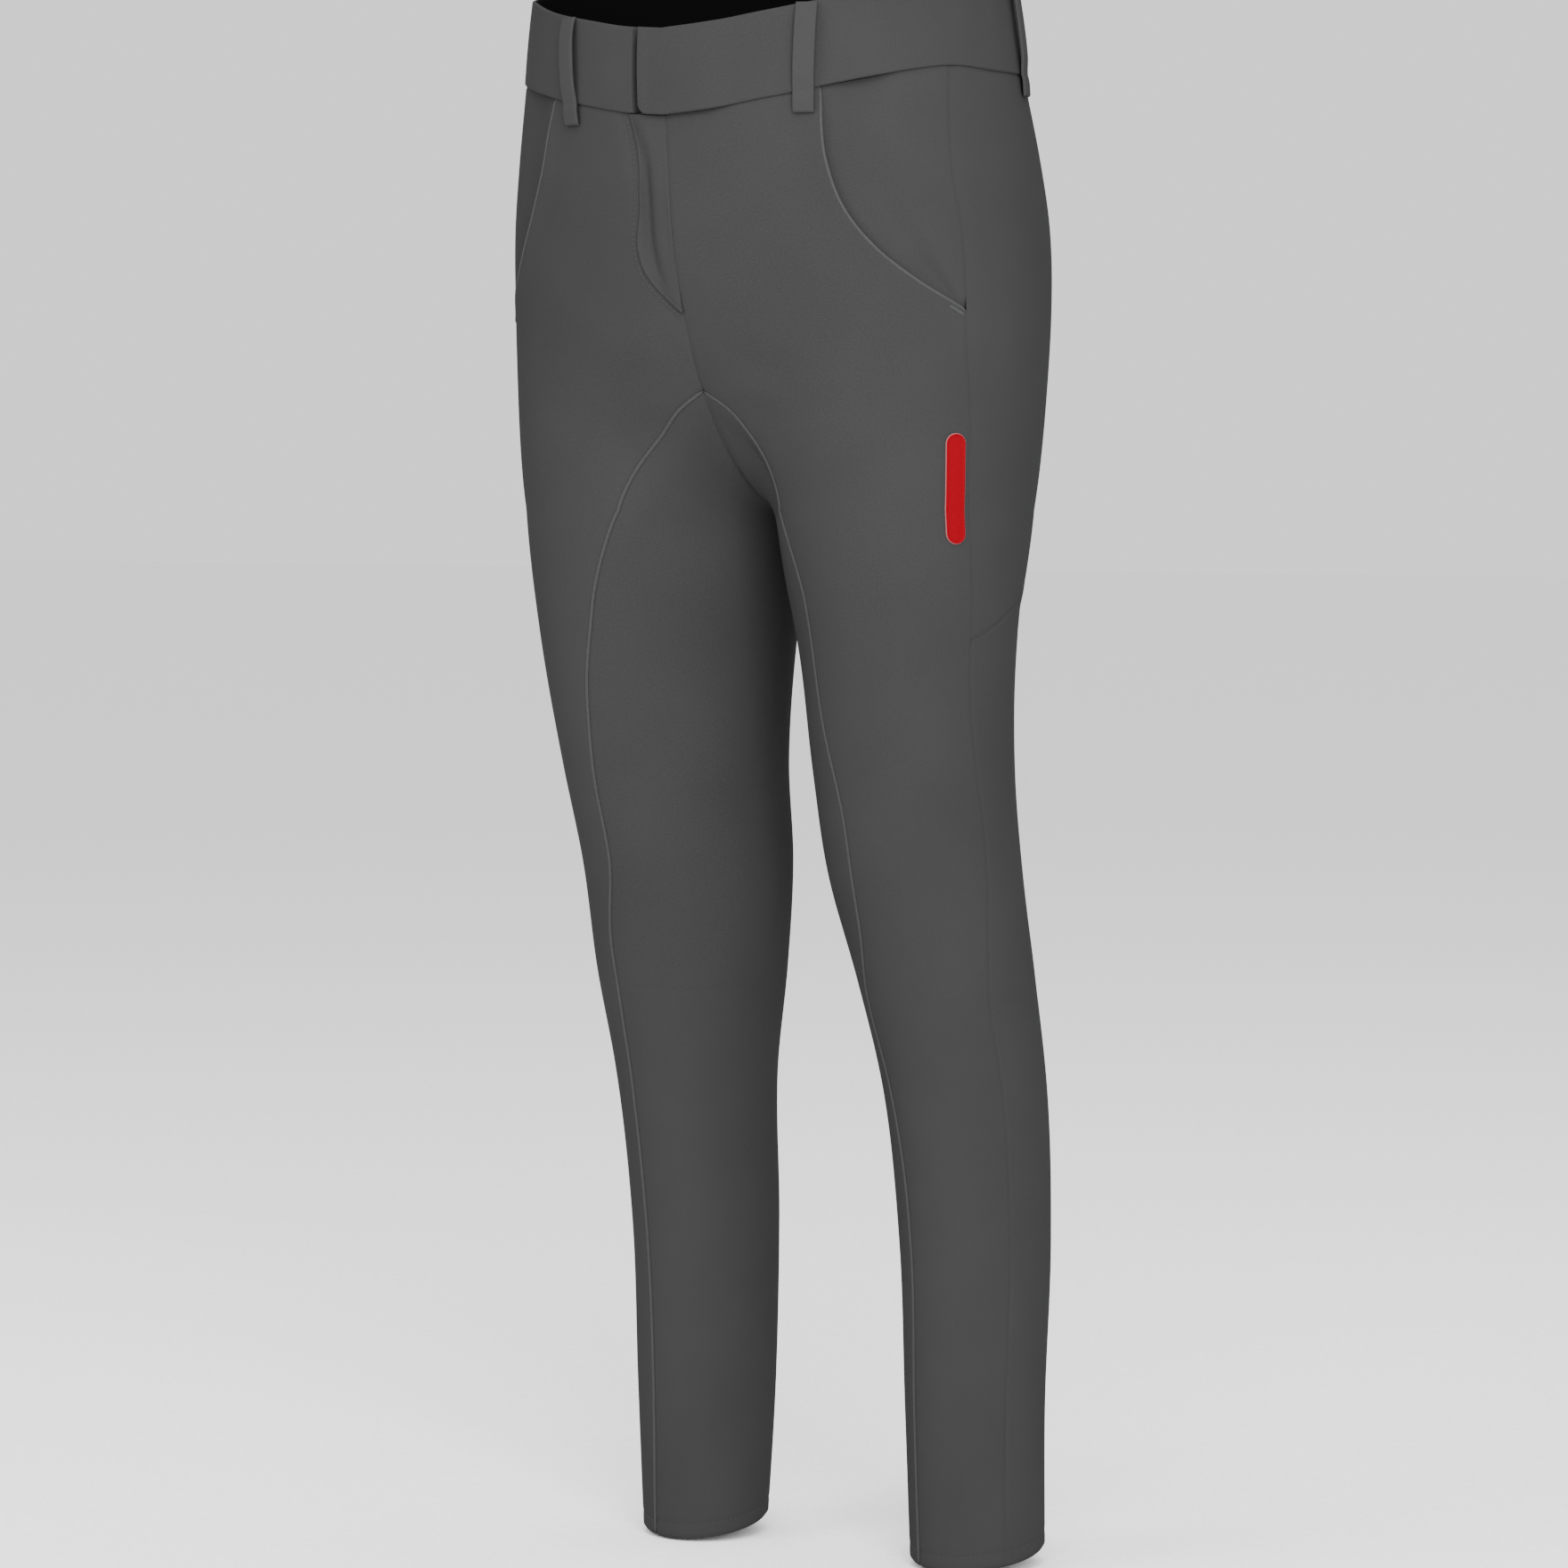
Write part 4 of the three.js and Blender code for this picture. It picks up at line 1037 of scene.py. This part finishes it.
# %% Piping and stitches


def lifted(side, round_, z, height):
    """Points, outward normals and directions of a line at a height over the skin, in mm."""
    points = skin(side, round_, z)
    normal = skin_normal(side, round_, z)
    points = points + normal * (relief(side, points) + height)[:, None]
    return points, normal, unit(np.gradient(points, axis=0))


def make_cord(name, side, line, width, height, material, lift=0.0, closed_ends=4):
    """A rounded strip of cloth along a line, that tapers at its ends."""
    points, normal, along = lifted(side, *line, lift)
    across = unit(np.cross(along, normal))
    length = np.concatenate([[0], np.cumsum(np.linalg.norm(np.diff(points, axis=0), axis=-1))])
    from_end = np.minimum(length, length[-1] - length)
    taper = np.sqrt(np.clip(from_end / closed_ends, 0.02, 1))
    turn = steps(0, 2 * np.pi, 12)[:-1]
    x = (np.cos(turn)[None] * taper[:, None] * width / 2)[..., None]
    y = (np.sin(turn)[None] * taper[:, None] * height)[..., None]
    ring = points[:, None] + across[:, None] * x + normal[:, None] * y
    rows, count = ring.shape[:2]
    number = np.arange(rows * count).reshape(rows, count)
    around = np.roll(number, -1, axis=1)
    sides = np.stack([number[:-1], around[:-1], around[1:], number[1:]], -1).reshape(-1, 4).tolist()
    caps = [number[0, ::-1].tolist(), number[-1].tolist()]
    return make_object(name, ring.reshape(-1, 3), sides + caps, material)


def resample(points, pitch):
    """Even stops along a line, one every pitch millimetres, as fractions of its index."""
    length = np.concatenate([[0], np.cumsum(np.linalg.norm(np.diff(points, axis=0), axis=-1))])
    stops = np.arange(pitch / 2, length[-1], pitch)
    return np.interp(stops, length, np.arange(len(length)))


def make_stitches(name, side, line, pitch=3.0, length=2.1, width=0.55, height=0.3, lift=0.0):
    """A row of thread stitches along a line: each is a small flattened spindle, all in one mesh."""
    round_, z = line
    index = np.arange(len(round_))
    stop = resample(skin(side, round_, z), pitch)
    round_, z = np.interp(stop, index, round_), np.interp(stop, index, z)
    points = skin(side, round_, z)
    normal = skin_normal(side, round_, z)
    points = points + normal * (relief(side, points) + lift)[:, None]
    along = unit(np.gradient(points, axis=0))
    across = unit(np.cross(along, normal))
    rings, around = 3, 6
    part = steps(-1, 1, rings + 1)[1:-1]
    turn = steps(0, 2 * np.pi, around)[:-1]
    x = np.concatenate([[-1], np.repeat(part, around), [1]]) * length / 2
    swell = np.sqrt(1 - part**2)
    y = np.concatenate([[0], (swell[:, None] * np.cos(turn)).ravel(), [0]]) * width / 2
    h = np.concatenate([[0], (swell[:, None] * np.sin(turn)).ravel(), [0]]) * height
    shape = points[:, None] + along[:, None] * x[:, None] + across[:, None] * y[:, None]
    shape = shape + normal[:, None] * h[:, None]
    ring = np.arange(1, 1 + rings * around).reshape(rings, around)
    turned = np.roll(ring, -1, axis=1)
    body = np.stack([ring[:-1], ring[1:], turned[1:], turned[:-1]], -1).reshape(-1, 4)
    first = np.stack([0 * ring[0], ring[0], turned[0]], -1)
    last = np.stack([0 * ring[-1] + 1 + rings * around, turned[-1], ring[-1]], -1)
    size = 2 + rings * around
    start = (np.arange(len(points)) * size)[:, None, None]
    faces = (body[None] + start).reshape(-1, 4).tolist()
    faces += (first[None] + start).reshape(-1, 3).tolist() + (last[None] + start).reshape(-1, 3).tolist()
    return make_object(name, shape.reshape(-1, 3), faces, THREAD)


def beside(side, line, distance):
    """The same line moved along the skin by a distance in mm, to its right as it is followed."""
    round_, z = line
    scale = mm_per_round(side, round_, z)
    run = unit(np.stack([np.gradient(round_) * scale, np.gradient(z)], -1))
    return round_ - run[:, 1] * distance / scale, z + run[:, 0] * distance


def part_of(line, low, high):
    """The stretch of a line between two of its parts."""
    count = len(line[0])
    cut = slice(int(low * (count - 1)), int(high * (count - 1)) + 1)
    return line[0][cut], line[1][cut]


for word, side in HALVES.items():
    seams = seam_places(side)
    keep = seams["patch"][1] > hem_z(front_edge(side, HEM_MIDDLE_Z)) + 1
    patch_line = (seams["patch"][0][keep], seams["patch"][1][keep])
    rise = pocket_rise(steps(0, 1, len(seams["pocket"][0]) - 1)) - 0.35
    tack_line = beside(side, part_of(seams["pocket"], 0.93, 1), -2.6)
    hem_round = steps(0, 1, 400)
    hem_line = (hem_round, hem_z(hem_round) + HEM_STITCH_HEIGHT)
    # The patch piping's lighter tone is a painted highlight along the seam.
    make_cord("patch_piping_" + word, side, patch_line, 2.4, 0.7, PIPING_PAINTED_HIGHLIGHT, lift=0.6)
    # The pocket piping and its bar-tack take the lighter copy, a painted highlight.
    make_cord("pocket_piping_" + word, side, seams["pocket"], 1.8, 0.7, EDGE_PIPING_PAINTED_HIGHLIGHT, lift=rise)
    make_cord("pocket_tack_" + word, side, tack_line, 2.0, 0.6, EDGE_PIPING_PAINTED_HIGHLIGHT, closed_ends=1.5)
    make_stitches("hem_stitches_" + word, side, hem_line, lift=-0.4)

fly_z = steps(-62, -175.5, 200)
fly_line = (curve(FLY_EDGE, 1, fly_z), fly_z)
fly_stitch_line = beside(-1, fly_line, FLY_STITCH_INSET)
fly_stitches = make_stitches("fly_stitches", -1, fly_stitch_line, lift=LAYER_GAP + CLOTH - 0.3)

# %% [markdown]

# %% [markdown]
# A plain pale floor, soft studio light and the camera of the photograph.

# %% Stage, light and camera
FLOOR_Z = -0.939
FLOOR_HALF_SIZE = 30
STUDIO_BRIGHTNESS = 1.2
CAMERA_LENS = 128.66
CAMERA_PLACE = (1.852, -2.851, -0.270)
CAMERA_TARGET = (0.0067, 0.0044, -0.459)
# name, azimuth, elevation, distance and size in metres, power in watts, height of the target
LIGHTS = [
    ("key", 36, 36, 2.6, 1.4, 66, -0.15), ("fill", 45, 6, 3.0, 1.2, 90, -0.15),
    ("left", -28, 20, 3.0, 1.6, 50, -0.15), ("overhead", 0, 89, 3.0, 4.0, 90, -0.45),
]


def make_floor():
    """One large flat face just under the hems."""
    corners = [(-1, -1), (1, -1), (1, 1), (-1, 1)]
    points = [(x * FLOOR_HALF_SIZE, y * FLOOR_HALF_SIZE, FLOOR_Z) for x, y in corners]
    mesh = bpy.data.meshes.new("floor")
    mesh.from_pydata(points, [], [(0, 1, 2, 3)])
    mesh.materials.append(plain_material("floor_paper", (0.95, 0.95, 0.95), 0.9))
    made = bpy.data.objects.new("floor", mesh)
    bpy.context.scene.collection.objects.link(made)


def aim_at(thing, target):
    """Turns a light or a camera so that it looks at the target."""
    direction = Vector(target) - Vector(thing.location)
    thing.rotation_euler = direction.to_track_quat("-Z", "Y").to_euler()


def add_light(name, azimuth, elevation, distance, size, power, target_z):
    """A square soft light at an angle round the object, aimed at a height on its middle line."""
    target = (0, 0, target_z)
    data = bpy.data.lights.new(name, "AREA")
    data.shape = "SQUARE"
    data.size = size
    data.energy = power
    lamp = bpy.data.objects.new(name, data)
    a, e = math.radians(azimuth), math.radians(elevation)
    away = np.array([math.sin(a) * math.cos(e), -math.cos(a) * math.cos(e), math.sin(e)])
    lamp.location = np.array(target) + away * distance
    aim_at(lamp, target)
    bpy.context.scene.collection.objects.link(lamp)


make_floor()
world = bpy.data.worlds.new("studio")
world.use_nodes = True
background = world.node_tree.nodes["Background"]
background.inputs["Color"].default_value = (1, 1, 1, 1)
background.inputs["Strength"].default_value = STUDIO_BRIGHTNESS
bpy.context.scene.world = world
for light in LIGHTS:
    add_light(*light)

camera_data = bpy.data.cameras.new("camera")
camera_data.lens = CAMERA_LENS
camera = bpy.data.objects.new("camera", camera_data)
camera.location = CAMERA_PLACE
aim_at(camera, CAMERA_TARGET)
bpy.context.scene.collection.objects.link(camera)
bpy.context.scene.camera = camera
print("camera at", tuple(round(c, 3) for c in camera.location))
